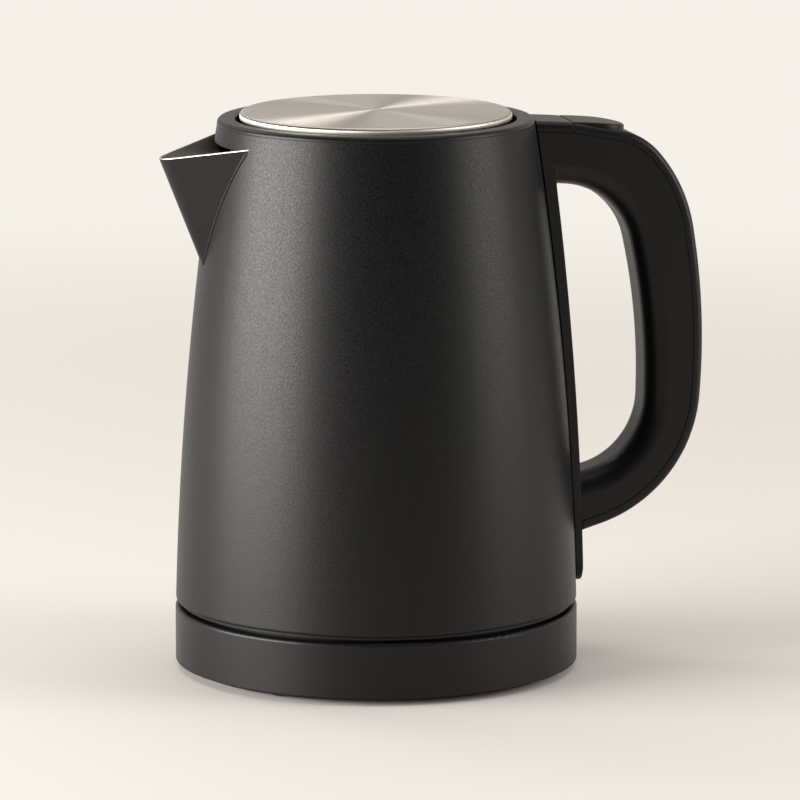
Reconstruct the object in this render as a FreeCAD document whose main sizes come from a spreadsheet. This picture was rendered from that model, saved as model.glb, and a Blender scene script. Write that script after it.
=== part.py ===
"""Electric kettle on a round power base, as separate pieces.

Millimetres. +Z is up, +X points to the handle, the spout points to -X.
The origin is on the kettle's axis, on the surface that the base stands on.
"""
import FreeCAD
import Part
import Sketcher

import math
import os

# Driving sizes, by group
SIZES = {
    # power base
    "base_radius": 80.0,
    "base_top": 24.7,
    "base_wall": 2.4,
    "base_lift": 3.0,
    "base_deck": 19.5,
    "base_deck_thick": 2.2,
    "base_rim_width": 3.6,
    "base_edge_radius": 1.2,
    "base_inner_edge_radius": 0.6,
    "foot_height": 1.5,
    "foot_radius": 6.0,
    "foot_recess": 0.7,
    "foot_circle": 66.0,
    "base_cover_thick": 2.4,
    "base_screw_circle": 58.0,
    "screw_boss_radius": 4.0,
    "screw_radius": 1.2,
    "screw_head_radius": 2.8,
    "screw_head_thick": 1.1,
    "base_screw_length": 9.0,
    "gland_height": 10.2,
    "gland_bore": 3.5,
    "gland_neck": 4.9,
    "gland_flange": 6.0,
    "gland_flange_thick": 2.4,
    # round connector between base and kettle
    "hub_radius": 19.7,
    "hub_top": 30.0,
    "hub_depth": 9.3,
    "hub_flange": 4.3,
    "socket_bore": 5.2,
    "socket_depth": 16.0,
    "groove_inner": 9.0,
    "groove_outer": 12.4,
    "groove_depth": 12.0,
    "contact_thick": 0.7,
    "contact_length": 6.0,
    "pin_radius": 3.2,
    "pin_tip_radius": 1.6,
    "pin_lift": 5.2,
    "ring_thick": 1.3,
    "ring_lift": 3.0,
    "cup_wall": 3.4,
    "cup_roof": 1.0,
    # painted steel body
    "body_bottom": 27.0,
    "body_top": 217.0,
    "body_bottom_radius": 79.8,
    "body_top_radius": 62.5,
    "body_bow": 1500.0,
    "body_wall": 1.0,
    "body_edge_radius": 1.2,
    "body_flange": 4.8,
    # sheet spout
    "spout_reach": 86.7,
    "spout_tip_height": 205.2,
    "spout_root_height": 162.7,
    "spout_corner_height": 211.3,
    "spout_corner_half": 28.1,
    "spout_nose_radius": 8.0,
    "spout_root_radius": 3.0,
    "spout_tail": 8.0,
    "spout_overlap": 16.0,
    "spout_wall": 1.0,
    "filter_wall": 1.2,
    "filter_half_angle": 30.0,
    "filter_foot": 6.0,
    "filter_head": 6.0,
    "filter_slot": 2.4,
    "filter_bar": 2.2,
    "filter_rim": 4.5,
    # collar ring and lid
    "collar_rise": 2.2,
    "collar_inner": 55.4,
    "collar_skirt": 2.0,
    "collar_depth": 13.0,
    "collar_flange": 2.5,
    "collar_edge_radius": 1.8,
    "collar_inner_edge_radius": 0.9,
    "lid_radius": 53.6,
    "lid_height": 4.7,
    "lid_crown": 0.5,
    "lid_sheet": 0.8,
    "lid_rim": 2.1,
    "lid_rim_radius": 1.6,
    "lid_skirt_inset": 1.3,
    "lid_wall": 2.0,
    "lid_depth": 12.4,
    "lid_seal_width": 1.9,
    "lid_seal_height": 2.4,
    "lid_seal_drop": 2.2,
    "lid_pivot_back": 24.4,
    "lid_pivot_drop": 4.7,
    "lid_pin_radius": 1.25,
    "lid_pin_inner": 26.0,
    "lid_boss_half": 3.6,
    "lid_boss_width": 3.0,
    "lid_screw_circle": 32.0,
    "lid_screw_length": 7.2,
    "lid_spring_radius": 2.1,
    "lid_spring_wire": 0.3,
    "lid_spring_length": 4.2,
    # heater, control and bottom
    "plate_height": 46.0,
    "plate_radius": 76.0,
    "plate_thick": 1.2,
    "plate_rim": 7.0,
    "plate_corner": 1.8,
    "seal_thick": 1.6,
    "seal_lip": 1.0,
    "diffuser_radius": 51.0,
    "diffuser_thick": 3.0,
    "element_circle": 43.0,
    "element_radius": 3.6,
    "element_sweep": 290.0,
    "terminal_radius": 1.4,
    "terminal_length": 7.0,
    "control_radius": 24.5,
    "control_top": 41.0,
    "control_lug_circle": 28.5,
    "control_lug_radius": 4.2,
    "control_lug_thick": 5.0,
    "control_box_half": 7.5,
    "bimetal_radius": 7.0,
    "bimetal_thick": 0.6,
    "bimetal_spread": 9.0,
    "bimetal_set_back": 4.5,
    "bottom_skirt": 74.7,
    "bottom_wall": 2.3,
    "bottom_floor_lift": 1.1,
    "bottom_lip": 3.1,
    "bottom_lip_thick": 1.4,
    "bottom_spigot": 4.0,
    "steam_tube_x": 54.0,
    "steam_tube_y": 22.0,
    "steam_tube_radius": 4.0,
    "steam_tube_wall": 0.8,
    "steam_tube_top": 194.0,
    "steam_tube_tail": 8.0,
    # spine plate and D handle
    "spine_half_width": 13.5,
    "spine_gap": 0.5,
    "spine_foot": 31.0,
    "spine_foot_stand": 2.1,
    "spine_head_stand": 3.9,
    "spine_foot_radius": 8.0,
    "handle_half_width": 13.5,
    "handle_reach": 132.6,
    "handle_root_inset": 6.75,
    "handle_crown_x": 77.0,
    "handle_crown_drop": 0.7,
    "handle_crown_rise": 1.3,
    "handle_crown_radius": 60.0,
    "shoulder_back": 26.1,
    "shoulder_drop": 5.6,
    "shoulder_radius": 28.9,
    "nape_back": 8.2,
    "nape_drop": 21.5,
    "nape_radius": 61.3,
    "back_drop": 52.6,
    "back_radius": 270.0,
    "heel_back": 5.7,
    "heel_rise": 14.7,
    "heel_radius": 57.3,
    "handle_foot": 51.3,
    "toe_drop": 2.0,
    "toe_screw_rise": 11.0,
    "toe_screw_pitch": 7.0,
    "grip_roof": 25.0,
    "grip_shoulder_back": 35.2,
    "grip_shoulder_drop": 1.9,
    "grip_shoulder_radius": 30.0,
    "grip_depth": 23.4,
    "grip_radius": 250.0,
    "grip_heel_back": 25.0,
    "grip_heel_rise": 30.6,
    "grip_heel_radius": 29.7,
    "grip_floor": 23.4,
    "grip_edge_radius": 8.5,
    "cover_depth": 4.0,
    "cover_edge_radius": 2.6,
    "cover_split": 0.3,
    # thumb button and latch
    "button_half_width": 11.6,
    "button_length": 23.1,
    "button_front_gap": 0.5,
    "button_gap": 0.5,
    "button_proud": 1.9,
    "button_bow": 160.0,
    "button_skirt": 5.9,
    "button_roof": 1.5,
    "button_edge_radius": 1.0,
    "button_pivot_back": 2.2,
    "button_pivot_drop": 6.5,
    "button_pin_radius": 1.25,
    "button_boss_radius": 2.2,
    "button_boss_width": 4.0,
    "button_pin_seat": 0.9,
    "button_spring_back": 7.5,
    "button_spring_radius": 2.2,
    "button_spring_wire": 0.35,
    "latch_drop": 12.5,
    "latch_thick": 2.8,
    "latch_half_width": 5.0,
    "latch_tail": 17.3,
    "latch_nose_gap": 1.2,
    "latch_tongue_thick": 0.8,
    "latch_hold": 2.0,
    "latch_ramp_height": 2.3,
    "latch_ramp_slope": 1.22,
    "latch_ramp_back": 14.8,
    "latch_ramp_top": 1.4,
    "latch_ramp_gap": 0.36,
    "latch_rib_half": 3.5,
    "latch_window": 4.8,
    "latch_window_half": 4.1,
    "latch_spring_radius": 1.0,
    "latch_spring_wire": 0.3,
    # power switch and its trip lever
    "switch_height": 37.8,
    "switch_inset": 5.2,
    "switch_half_width": 5.6,
    "switch_half_height": 3.8,
    "switch_well_half_height": 6.2,
    "switch_well_wall": 1.5,
    "switch_proud": 0.5,
    "switch_pin_radius": 1.1,
    "switch_arm": 18.0,
    "switch_arm_thick": 2.4,
    "switch_arm_half": 2.6,
    "trip_hub_radius": 2.4,
    "trip_tip_radius": 0.9,
    "trip_half_width": 2.2,
    # clearances
    "slide_gap": 0.6,
    "seat_gap": 0.3,
    "run_gap": 0.05,
    "screw_gap": 0.2,
}

doc = FreeCAD.newDocument("electric_kettle")
sheet = doc.addObject("Spreadsheet::Sheet", "Sizes")
for row, (alias, number) in enumerate(SIZES.items(), start=1):
    sheet.set(f"A{row}", alias)
    sheet.set(f"B{row}", str(number))
    sheet.setAlias(f"B{row}", alias)
worked = doc.addObject("App::VarSet", "Worked")
doc.recompute()

LONGEST_TEXT = 200
NAMED = {}


class Size(float):
    """A number that carries the expression it comes from.

    An expression that grows long becomes a named value of its own, worked out from the sheet.
    """

    def __new__(cls, number, text):
        size = float.__new__(cls, number)
        size.text = name_of(text) if len(text) > LONGEST_TEXT else text
        return size

    def __add__(self, other):
        return Size(float(self) + float(other), f"({self.text} + {text_of(other)})")

    def __radd__(self, other):
        return Size(float(other) + float(self), f"({text_of(other)} + {self.text})")

    def __sub__(self, other):
        return Size(float(self) - float(other), f"({self.text} - {text_of(other)})")

    def __rsub__(self, other):
        return Size(float(other) - float(self), f"({text_of(other)} - {self.text})")

    def __mul__(self, other):
        return Size(float(self) * float(other), f"({self.text} * {text_of(other)})")

    def __rmul__(self, other):
        return Size(float(other) * float(self), f"({text_of(other)} * {self.text})")

    def __truediv__(self, other):
        return Size(float(self) / float(other), f"({self.text} / {text_of(other)})")

    def __neg__(self):
        return Size(-float(self), f"(-{self.text})")


def name_of(text):
    if text not in NAMED:
        name = f"value_{len(NAMED) + 1}"
        worked.addProperty("App::PropertyFloat", name)
        worked.setExpression(name, text)
        NAMED[text] = f"Worked.{name}"
    return NAMED[text]


def text_of(value):
    return value.text if isinstance(value, Size) else repr(float(value))


def root(value):
    return Size(math.sqrt(value), f"sqrt({text_of(value)})")


class SizeSheet:
    """Reads a size by its alias."""

    def __getattr__(self, alias):
        return Size(SIZES[alias], f"Sizes.{alias}")


S = SizeSheet()
NODES = []


def bind(target, name, value):
    """Sets a property, through the sheet where the value comes from it."""
    if isinstance(value, Size):
        target.setExpression(name, value.text)
    else:
        setattr(target, name, value)


# Outlines: corners (x, y), (x, y, radius), or (x, y, None, bow) for an arc to the next corner

def unit(start, end):
    dx, dy = end[0] - start[0], end[1] - start[1]
    length = root(dx * dx + dy * dy)
    return dx / length, dy / length


def soften(corners, inset=0.0, closed=True):
    """Turns corners into points, with the signed radius of the arc to the next point where there is one.

    The whole outline can be drawn inset to its left, parallel to itself.
    """
    points = []
    last = len(corners) - 1
    for index, corner in enumerate(corners):
        x, y = corner[0], corner[1]
        ends_path = not closed and index in (0, last)
        radius = corner[2] if len(corner) > 2 and not ends_path else None
        if radius is None and not inset:
            points.append((x, y, corner[3] if len(corner) > 3 else None))
            continue
        if ends_path:
            ahead = unit(corners[0], corners[1]) if index == 0 else unit(corners[-2], corners[-1])
            points.append((x - ahead[1] * inset, y + ahead[0] * inset, None))
            continue
        into = unit(corners[index - 1], corner)
        away = unit(corner, corners[(index + 1) % len(corners)])
        turn = into[0] * away[1] - into[1] * away[0]
        side = 1.0 if turn > 0 else -1.0
        along = into[0] * away[0] + into[1] * away[1]
        half_turn = root((1.0 - along) / (1.0 + along))
        reach = half_turn * (radius if radius is not None else 0.0)
        shrunk = (radius if radius is not None else 0.0) - side * inset
        if radius is None:
            slide = half_turn * inset * side
            points.append((x - into[1] * inset - into[0] * slide, y + into[0] * inset - into[1] * slide,
                           None))
            continue
        points.append((x - into[0] * reach - into[1] * inset, y - into[1] * reach + into[0] * inset,
                       shrunk * side))
        points.append((x + away[0] * reach - away[1] * inset, y + away[1] * reach + away[0] * inset, None))
    return points


def arc_between(start, end, radius):
    """A short arc, left-handed for a positive radius; its own ends run counterclockwise."""
    dx, dy = float(end[0] - start[0]), float(end[1] - start[1])
    chord = math.hypot(dx, dy)
    side = 1.0 if radius > 0 else -1.0
    height = side * math.sqrt(max(float(radius) ** 2 - chord ** 2 / 4.0, 0.0))
    centre = FreeCAD.Vector((start[0] + end[0]) / 2.0 - dy / chord * height,
                            (start[1] + end[1]) / 2.0 + dx / chord * height, 0)
    first, second = (start, end) if radius > 0 else (end, start)
    begin = math.atan2(first[1] - centre.y, first[0] - centre.x)
    finish = math.atan2(second[1] - centre.y, second[0] - centre.x)
    if finish < begin:
        finish += 2.0 * math.pi
    circle = Part.Circle(centre, FreeCAD.Vector(0, 0, 1), abs(float(radius)))
    return Part.ArcOfCircle(circle, begin, finish)


def draw(sketch, points):
    """Adds one closed outline to a sketch and ties every point and radius to the sheet."""
    starts, ends = [], []
    first = sketch.GeometryCount
    bound = []
    for index, point in enumerate(points):
        following = points[(index + 1) % len(points)]
        radius = point[2]
        if radius is None:
            sketch.addGeometry(Part.LineSegment(FreeCAD.Vector(point[0], point[1], 0),
                                                FreeCAD.Vector(following[0], following[1], 0)), False)
        else:
            sketch.addGeometry(arc_between(point, following, radius), False)
        forward = radius is None or radius > 0
        starts.append(1 if forward else 2)
        ends.append(2 if forward else 1)
    for index, point in enumerate(points):
        geometry = first + index
        follow = (index + 1) % len(points)
        sketch.addConstraint(Sketcher.Constraint("Coincident", geometry, ends[index],
                                                 first + follow, starts[follow]))
        for kind, value in (("DistanceX", point[0]), ("DistanceY", point[1])):
            number = sketch.addConstraint(Sketcher.Constraint(kind, -1, 1, geometry, starts[index],
                                                              float(value)))
            bound.append((number, value))
        if point[2] is not None:
            size = point[2] if point[2] > 0 else -point[2]
            number = sketch.addConstraint(Sketcher.Constraint("Radius", geometry, float(size)))
            bound.append((number, size))
    for number, value in bound:
        if isinstance(value, Size):
            sketch.setExpression(f"Constraints[{number}]", value.text)


def draw_circle(sketch, x, y, radius):
    circle = Part.Circle(FreeCAD.Vector(x, y, 0), FreeCAD.Vector(0, 0, 1), float(radius))
    geometry = sketch.addGeometry(circle, False)
    for kind, value in (("DistanceX", x), ("DistanceY", y)):
        number = sketch.addConstraint(Sketcher.Constraint(kind, -1, 1, geometry, 3, float(value)))
        if isinstance(value, Size):
            sketch.setExpression(f"Constraints[{number}]", value.text)
    number = sketch.addConstraint(Sketcher.Constraint("Radius", geometry, float(radius)))
    sketch.setExpression(f"Constraints[{number}]", text_of(radius))


def box_outline(x_low, x_high, y_low, y_high):
    return [(x_low, y_low), (x_high, y_low), (x_high, y_high), (x_low, y_high)]


# Bodies and their features

def new_body(label):
    body = doc.addObject("PartDesign::Body", label)
    body.Label = label
    body.AllowCompound = True
    NODES.append(body)
    return body


def new_sketch(body, role, outlines=(), circles=(), offset=None):
    """A sketch on one of the body's own planes; the offset is along the plane's normal."""
    plane = next(part for part in body.Origin.OriginFeatures if part.Role == role)
    sketch = body.newObject("Sketcher::SketchObject", body.Label + "_sketch")
    sketch.AttachmentSupport = [(plane, "")]
    sketch.MapMode = "FlatFace"
    if offset is not None:
        bind(sketch, "AttachmentOffset.Base.z", offset)
    for corners in outlines:
        draw(sketch, soften(corners))
    for x, y, radius in circles:
        draw_circle(sketch, x, y, radius)
    return sketch


def turn(body, *outlines, cut=False, half_angle=None, axis="V_Axis", sketch=None):
    """Revolves outlines in the XZ plane, given as (radius, height), about the kettle's axis."""
    profile = sketch or new_sketch(body, "XZ_Plane", outlines)
    feature = body.newObject("PartDesign::Groove" if cut else "PartDesign::Revolution",
                             body.Label + "_turn")
    feature.Profile = profile
    feature.ReferenceAxis = (profile, [axis])
    if half_angle is None:
        feature.Angle = 360.0
    else:
        feature.Midplane = True
        bind(feature, "Angle", half_angle * 2.0)
    return feature


def extrude(body, sketch, length, cut=False, middle=False, reverse=False):
    feature = body.newObject("PartDesign::Pocket" if cut else "PartDesign::Pad", body.Label + "_extrude")
    feature.Profile = sketch
    feature.Type = "Length"
    bind(feature, "Length", length)
    feature.Midplane = middle
    feature.Reversed = reverse
    return feature


def side_pad(body, corners, half_width, cut=False, points=None):
    """A side view in the XZ plane, extruded to both sides of it."""
    sketch = new_sketch(body, "XZ_Plane")
    draw(sketch, points or soften(corners))
    return extrude(body, sketch, half_width * 2.0, cut=cut, middle=True)


def upright(body, low, high, outlines=(), circles=(), cut=False):
    """Plan outlines, extruded up from one height to another."""
    sketch = new_sketch(body, "XY_Plane", outlines, circles, offset=low or None)
    return extrude(body, sketch, high - low, cut=cut, reverse=cut)


def rearward(body, start, end, outlines=(), circles=(), cut=False):
    """Outlines in (y, z), extruded towards +X from one distance to another."""
    sketch = new_sketch(body, "YZ_Plane", outlines, circles, offset=start)
    return extrude(body, sketch, end - start, cut=cut, reverse=cut)


def across(body, half_width, outlines=(), circles=(), cut=False):
    """Outlines in (x, z), extruded to both sides of the middle plane."""
    sketch = new_sketch(body, "XZ_Plane", outlines, circles)
    return extrude(body, sketch, half_width * 2.0, cut=cut, middle=True)


def loft(body, sections, cut=False):
    """A ruled loft through (height, points) sections."""
    sketches = []
    for height, points in sections:
        sketch = new_sketch(body, "XY_Plane", offset=height)
        draw(sketch, points)
        sketches.append(sketch)
    feature = body.newObject("PartDesign::SubtractiveLoft" if cut else "PartDesign::AdditiveLoft",
                             body.Label + "_loft")
    feature.Profile = sketches[0]
    feature.Sections = sketches[1:]
    feature.Ruled = True
    return feature


def round_edges(body, radius, wanted):
    """Fillets the edges of the body's tip that the test picks."""
    doc.recompute()
    base = body.Tip
    names = [f"Edge{index}" for index, edge in enumerate(base.Shape.Edges, start=1) if wanted(edge)]
    if not names:
        raise RuntimeError(f"{body.Label}: no edge to round")
    feature = body.newObject("PartDesign::Fillet", body.Label + "_round")
    feature.Base = (base, names)
    bind(feature, "Radius", radius)
    return feature


def near(value, target, slack=0.01):
    return abs(value - target) < slack


def ring_spots(circle, count, first):
    """Places on a circle about the axis, starting at an angle in degrees."""
    angles = [math.radians(first + 360.0 * index / count) for index in range(count)]
    return [(circle * math.cos(angle), circle * math.sin(angle)) for angle in angles]


def primitive(kind, place, axis="z", **sizes):
    """A Part primitive standing at a place, along an axis."""
    shape = doc.addObject(kind, kind.split("::")[1])
    for name, value in sizes.items():
        bind(shape, name, value)
    spin = {"z": FreeCAD.Rotation(), "y": FreeCAD.Rotation(FreeCAD.Vector(1, 0, 0), -90),
            "x": FreeCAD.Rotation(FreeCAD.Vector(0, 1, 0), 90)}[axis]
    shape.Placement = FreeCAD.Placement(FreeCAD.Vector(*[float(value) for value in place]), spin)
    for name, value in zip("xyz", place):
        if isinstance(value, Size):
            shape.setExpression(f"Placement.Base.{name}", value.text)
    return shape


def keep(shape, label):
    shape.Label = label
    NODES.append(shape)
    return shape


def sleeve(label, place, axis, inner, outer, length):
    """A round sleeve along an axis, starting at a place."""
    outside = primitive("Part::Cylinder", place, axis, Radius=outer, Height=length)
    inside = primitive("Part::Cylinder", place, axis, Radius=inner, Height=length)
    cut = doc.addObject("Part::Cut", label)
    cut.Base = outside
    cut.Tool = inside
    return keep(cut, label)


def spring(label, place, axis, radius, wire, length):
    """A hidden coil spring, as the sleeve that its turns fill."""
    return sleeve(label, place, axis, radius - wire, radius + wire, length)


# Places that several pieces share

base_cover_top = S.foot_height + S.base_cover_thick
deck_under = S.base_deck - S.base_deck_thick
base_recess = S.base_radius - S.base_rim_width
hub_floor = S.hub_top - S.socket_depth
groove_floor = S.hub_top - S.groove_depth
cup_inner = S.hub_radius + S.slide_gap
cup_outer = cup_inner + S.cup_wall
cup_ceiling = S.hub_top + S.slide_gap
cup_top = cup_ceiling + S.cup_roof
cup_foot = S.base_deck + S.bottom_floor_lift + S.seat_gap
overhead = S.body_top + S.base_radius
abroad = S.handle_reach + S.base_radius


def arc_centre():
    """Centre of the arc that the body's wall follows, as (radius, height)."""
    run = S.body_top_radius - S.body_bottom_radius
    rise = S.body_top - S.body_bottom
    chord = root(run * run + rise * rise)
    offset = root(S.body_bow * S.body_bow - chord * chord / 4.0)
    return ((S.body_top_radius + S.body_bottom_radius) / 2.0 - rise / chord * offset,
            (S.body_top + S.body_bottom) / 2.0 + run / chord * offset)


def body_radius(height):
    """Outside radius of the body at a height."""
    centre = arc_centre()
    drop = height - centre[1]
    return centre[0] + root(S.body_bow * S.body_bow - drop * drop)


def body_outline(gap):
    """The space that the body and the collar take up, with a gap round it."""
    return [(0.0, S.body_bottom), (S.body_bottom_radius + gap, S.body_bottom, None, S.body_bow),
            (S.body_top_radius + gap, S.body_top), (S.body_top_radius + gap, overhead), (0.0, overhead)]


spout_lean = (S.spout_reach - body_radius(S.spout_root_height)) / (S.spout_tip_height - S.spout_root_height)
spout_corner_x = root(body_radius(S.spout_corner_height) * body_radius(S.spout_corner_height)
                      - S.spout_corner_half * S.spout_corner_half)
spout_low = S.spout_root_height - S.spout_tail

collar_top = S.body_top + S.collar_rise
collar_foot = S.body_top - S.collar_depth
lid_top = S.body_top + S.lid_height
lid_plate_under = lid_top - S.lid_sheet
lid_skirt = S.lid_radius - S.lid_skirt_inset
lid_foot = lid_plate_under - S.lid_depth
lid_pivot_x = S.collar_inner - S.lid_pivot_back
lid_pivot_z = lid_top - S.lid_pivot_drop

crown_z = S.body_top - S.handle_crown_drop
shoulder_z = crown_z - S.shoulder_drop
nape_z = shoulder_z - S.nape_drop
back_z = nape_z - S.back_drop
roof_z = crown_z - S.grip_roof
handle_root_x = S.body_top_radius - S.handle_root_inset
toe_x = S.body_bottom_radius - S.handle_root_inset
handle_outer = [
    (handle_root_x, crown_z + S.handle_crown_rise),
    (S.handle_crown_x, crown_z, S.handle_crown_radius),
    (S.handle_reach - S.shoulder_back, shoulder_z, S.shoulder_radius),
    (S.handle_reach - S.nape_back, nape_z, S.nape_radius),
    (S.handle_reach, back_z, S.back_radius),
    (S.handle_reach - S.heel_back, S.handle_foot + S.heel_rise, S.heel_radius),
    (toe_x, S.handle_foot - S.toe_drop),
]
handle_inner = [
    (toe_x, S.handle_foot + S.grip_floor - S.toe_drop),
    (S.handle_reach - S.grip_heel_back, S.handle_foot + S.grip_heel_rise, S.grip_heel_radius),
    (S.handle_reach - S.grip_depth, back_z, S.grip_radius),
    (S.handle_reach - S.grip_shoulder_back, roof_z - S.grip_shoulder_drop, S.grip_shoulder_radius),
    (handle_root_x, roof_z + S.handle_crown_rise),
]

button_front = S.handle_crown_x + S.button_front_gap
button_end = button_front + S.button_length
button_foot = crown_z - S.button_skirt
button_pivot_x = button_front + S.button_pivot_back
button_pivot_z = crown_z - S.button_pivot_drop
button_pin_half = S.button_half_width + S.button_gap + S.button_pin_seat
latch_low = S.body_top - S.latch_drop
latch_high = latch_low + S.latch_thick
latch_floor = latch_low - S.slide_gap
latch_roof = latch_high + S.latch_tongue_thick + S.slide_gap
latch_end = button_pivot_x + S.latch_tail
latch_slot = box_outline(-S.latch_half_width - S.slide_gap, S.latch_half_width + S.slide_gap,
                         latch_floor, latch_roof)

spine_face_foot = S.body_bottom_radius + S.spine_foot_stand
spine_face_head = body_radius(roof_z) + S.spine_head_stand
handle_screw_z = latch_floor - S.screw_head_radius * 2.0
handle_screw_y = (-S.latch_half_width - S.screw_radius, S.latch_half_width + S.screw_radius)
toe_screw_z = (S.handle_foot + S.toe_screw_rise, S.handle_foot + S.toe_screw_rise + S.toe_screw_pitch)
switch_x = spine_face_foot - S.switch_inset
trip_x = switch_x - S.switch_arm * 2.0
switch_well_half = S.switch_half_width + S.slide_gap
switch_well_inner = switch_x - S.switch_inset


# Power base

def make_base():
    housing = new_body("base_housing")
    turn(housing, [
        (S.base_radius, S.base_lift), (S.base_radius, S.base_top, S.base_edge_radius),
        (base_recess, S.base_top, S.base_inner_edge_radius), (base_recess, S.base_deck),
        (S.hub_radius + S.seat_gap, S.base_deck), (S.hub_radius + S.seat_gap, deck_under),
        (S.base_radius - S.base_wall, deck_under), (S.base_radius - S.base_wall, S.base_lift)])
    bosses = ring_spots(S.base_screw_circle, 3, 30.0)
    upright(housing, base_cover_top, S.base_deck - S.base_deck_thick / 2.0,
            circles=[(x, y, S.screw_boss_radius) for x, y in bosses])
    upright(housing, base_cover_top, base_cover_top + S.base_screw_length,
            circles=[(x, y, S.screw_radius + S.screw_gap / 2.0) for x, y in bosses], cut=True)
    gland_hole = (0.0, S.gland_height, S.gland_neck + S.seat_gap / 2.0)
    sketch = new_sketch(housing, "XZ_Plane", circles=[gland_hole])
    extrude(housing, sketch, S.base_radius * 2.0, cut=True)

    cover = new_body("base_bottom_cover")
    cover_radius = S.base_radius - S.base_wall - S.seat_gap
    turn(cover, [(0.0, S.foot_height), (cover_radius, S.foot_height, S.base_edge_radius),
                 (cover_radius, base_cover_top), (0.0, base_cover_top)])
    # the middle foot stands under the connector, where the kettle is pressed on
    feet = ring_spots(S.foot_circle, 4, 45.0) + [(0.0, 0.0)]
    upright(cover, S.foot_height, S.foot_height + S.foot_recess,
            circles=[(x, y, S.foot_radius) for x, y in feet], cut=True)
    upright(cover, S.foot_height, base_cover_top,
            circles=[(x, y, S.screw_radius + S.screw_gap) for x, y in bosses], cut=True)
    upright(cover, S.foot_height, S.foot_height + S.screw_head_thick,
            circles=[(x, y, S.screw_head_radius + S.screw_gap) for x, y in bosses], cut=True)

    pads = new_body("base_feet")
    upright(pads, 0.0, S.foot_height + S.foot_recess,
            circles=[(x, y, S.foot_radius) for x, y in feet])

    screws = new_body("base_screws")
    head_top = S.foot_height + S.screw_head_thick
    upright(screws, S.foot_height, head_top, circles=[(x, y, S.screw_head_radius) for x, y in bosses])
    upright(screws, head_top, base_cover_top + S.base_screw_length - S.screw_head_thick,
            circles=[(x, y, S.screw_radius) for x, y in bosses])

    hub = new_body("base_connector")
    turn(hub, [
        (0.0, S.hub_depth), (S.hub_radius - S.cup_wall, S.hub_depth),
        (S.hub_radius - S.cup_wall, deck_under - S.base_deck_thick),
        (S.hub_radius + S.hub_flange, deck_under - S.base_deck_thick),
        (S.hub_radius + S.hub_flange, deck_under),
        (S.hub_radius, deck_under), (S.hub_radius, S.hub_top, S.base_edge_radius),
        (S.groove_outer, S.hub_top), (S.groove_outer, groove_floor), (S.groove_inner, groove_floor),
        (S.groove_inner, S.hub_top), (S.socket_bore, S.hub_top), (S.socket_bore, hub_floor),
        (0.0, hub_floor)])

    contacts = new_body("base_contacts")
    turn(contacts,
         box_outline(S.socket_bore - S.contact_thick, S.socket_bore, hub_floor,
                     hub_floor + S.contact_length),
         box_outline(S.groove_outer - S.contact_thick, S.groove_outer, groove_floor,
                     groove_floor + S.contact_length))

    gland = new_body("cord_gland")
    inside = S.base_radius - S.base_wall
    wall_in = root(inside * inside - S.gland_flange * S.gland_flange)
    sketch = new_sketch(gland, "YZ_Plane", [[
        (wall_in - S.gland_flange_thick, S.gland_bore),
        (S.base_radius + S.gland_flange_thick, S.gland_bore),
        (S.base_radius + S.gland_flange_thick, S.gland_flange, S.base_edge_radius),
        (S.base_radius, S.gland_flange), (S.base_radius, S.gland_neck), (wall_in, S.gland_neck),
        (wall_in, S.gland_flange), (wall_in - S.gland_flange_thick, S.gland_flange)]])
    bind(sketch, "AttachmentOffset.Base.y", S.gland_height)
    turn(gland, axis="H_Axis", sketch=sketch)


# Painted body, spout and strainer

def spout_points(height, inset):
    """The V of the spout at a height: straight sides that meet in a round nose.

    The sides run from the corners on the body to the nose at the same slope all the way up,
    and the nose's radius grows evenly with height.
    """
    tip_there = S.spout_reach + spout_lean * (S.spout_corner_height - S.spout_tip_height)
    run = tip_there - S.spout_nose_radius - spout_corner_x
    steep = S.spout_corner_half / run
    lead = S.spout_nose_radius / root(run * run + S.spout_corner_half * S.spout_corner_half
                                      - S.spout_nose_radius * S.spout_nose_radius)
    spread = (steep - lead) / (1.0 + steep * lead)
    growth = (S.spout_nose_radius - S.spout_root_radius) / (S.spout_corner_height - spout_low)
    nose_radius = S.spout_root_radius + growth * (height - spout_low)
    tip = S.spout_reach - spout_lean * (S.spout_tip_height - height)
    apex = tip + nose_radius * (root(1.0 + 1.0 / (spread * spread)) - 1.0)
    back = spout_corner_x - S.spout_overlap
    half = (apex - back) * spread
    return soften([(-back, half), (-apex, 0.0, nose_radius), (-back, -half)], inset=inset)


def spout_sections(inset, top):
    return [(height, spout_points(height, inset)) for height in (spout_low, top)]


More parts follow.
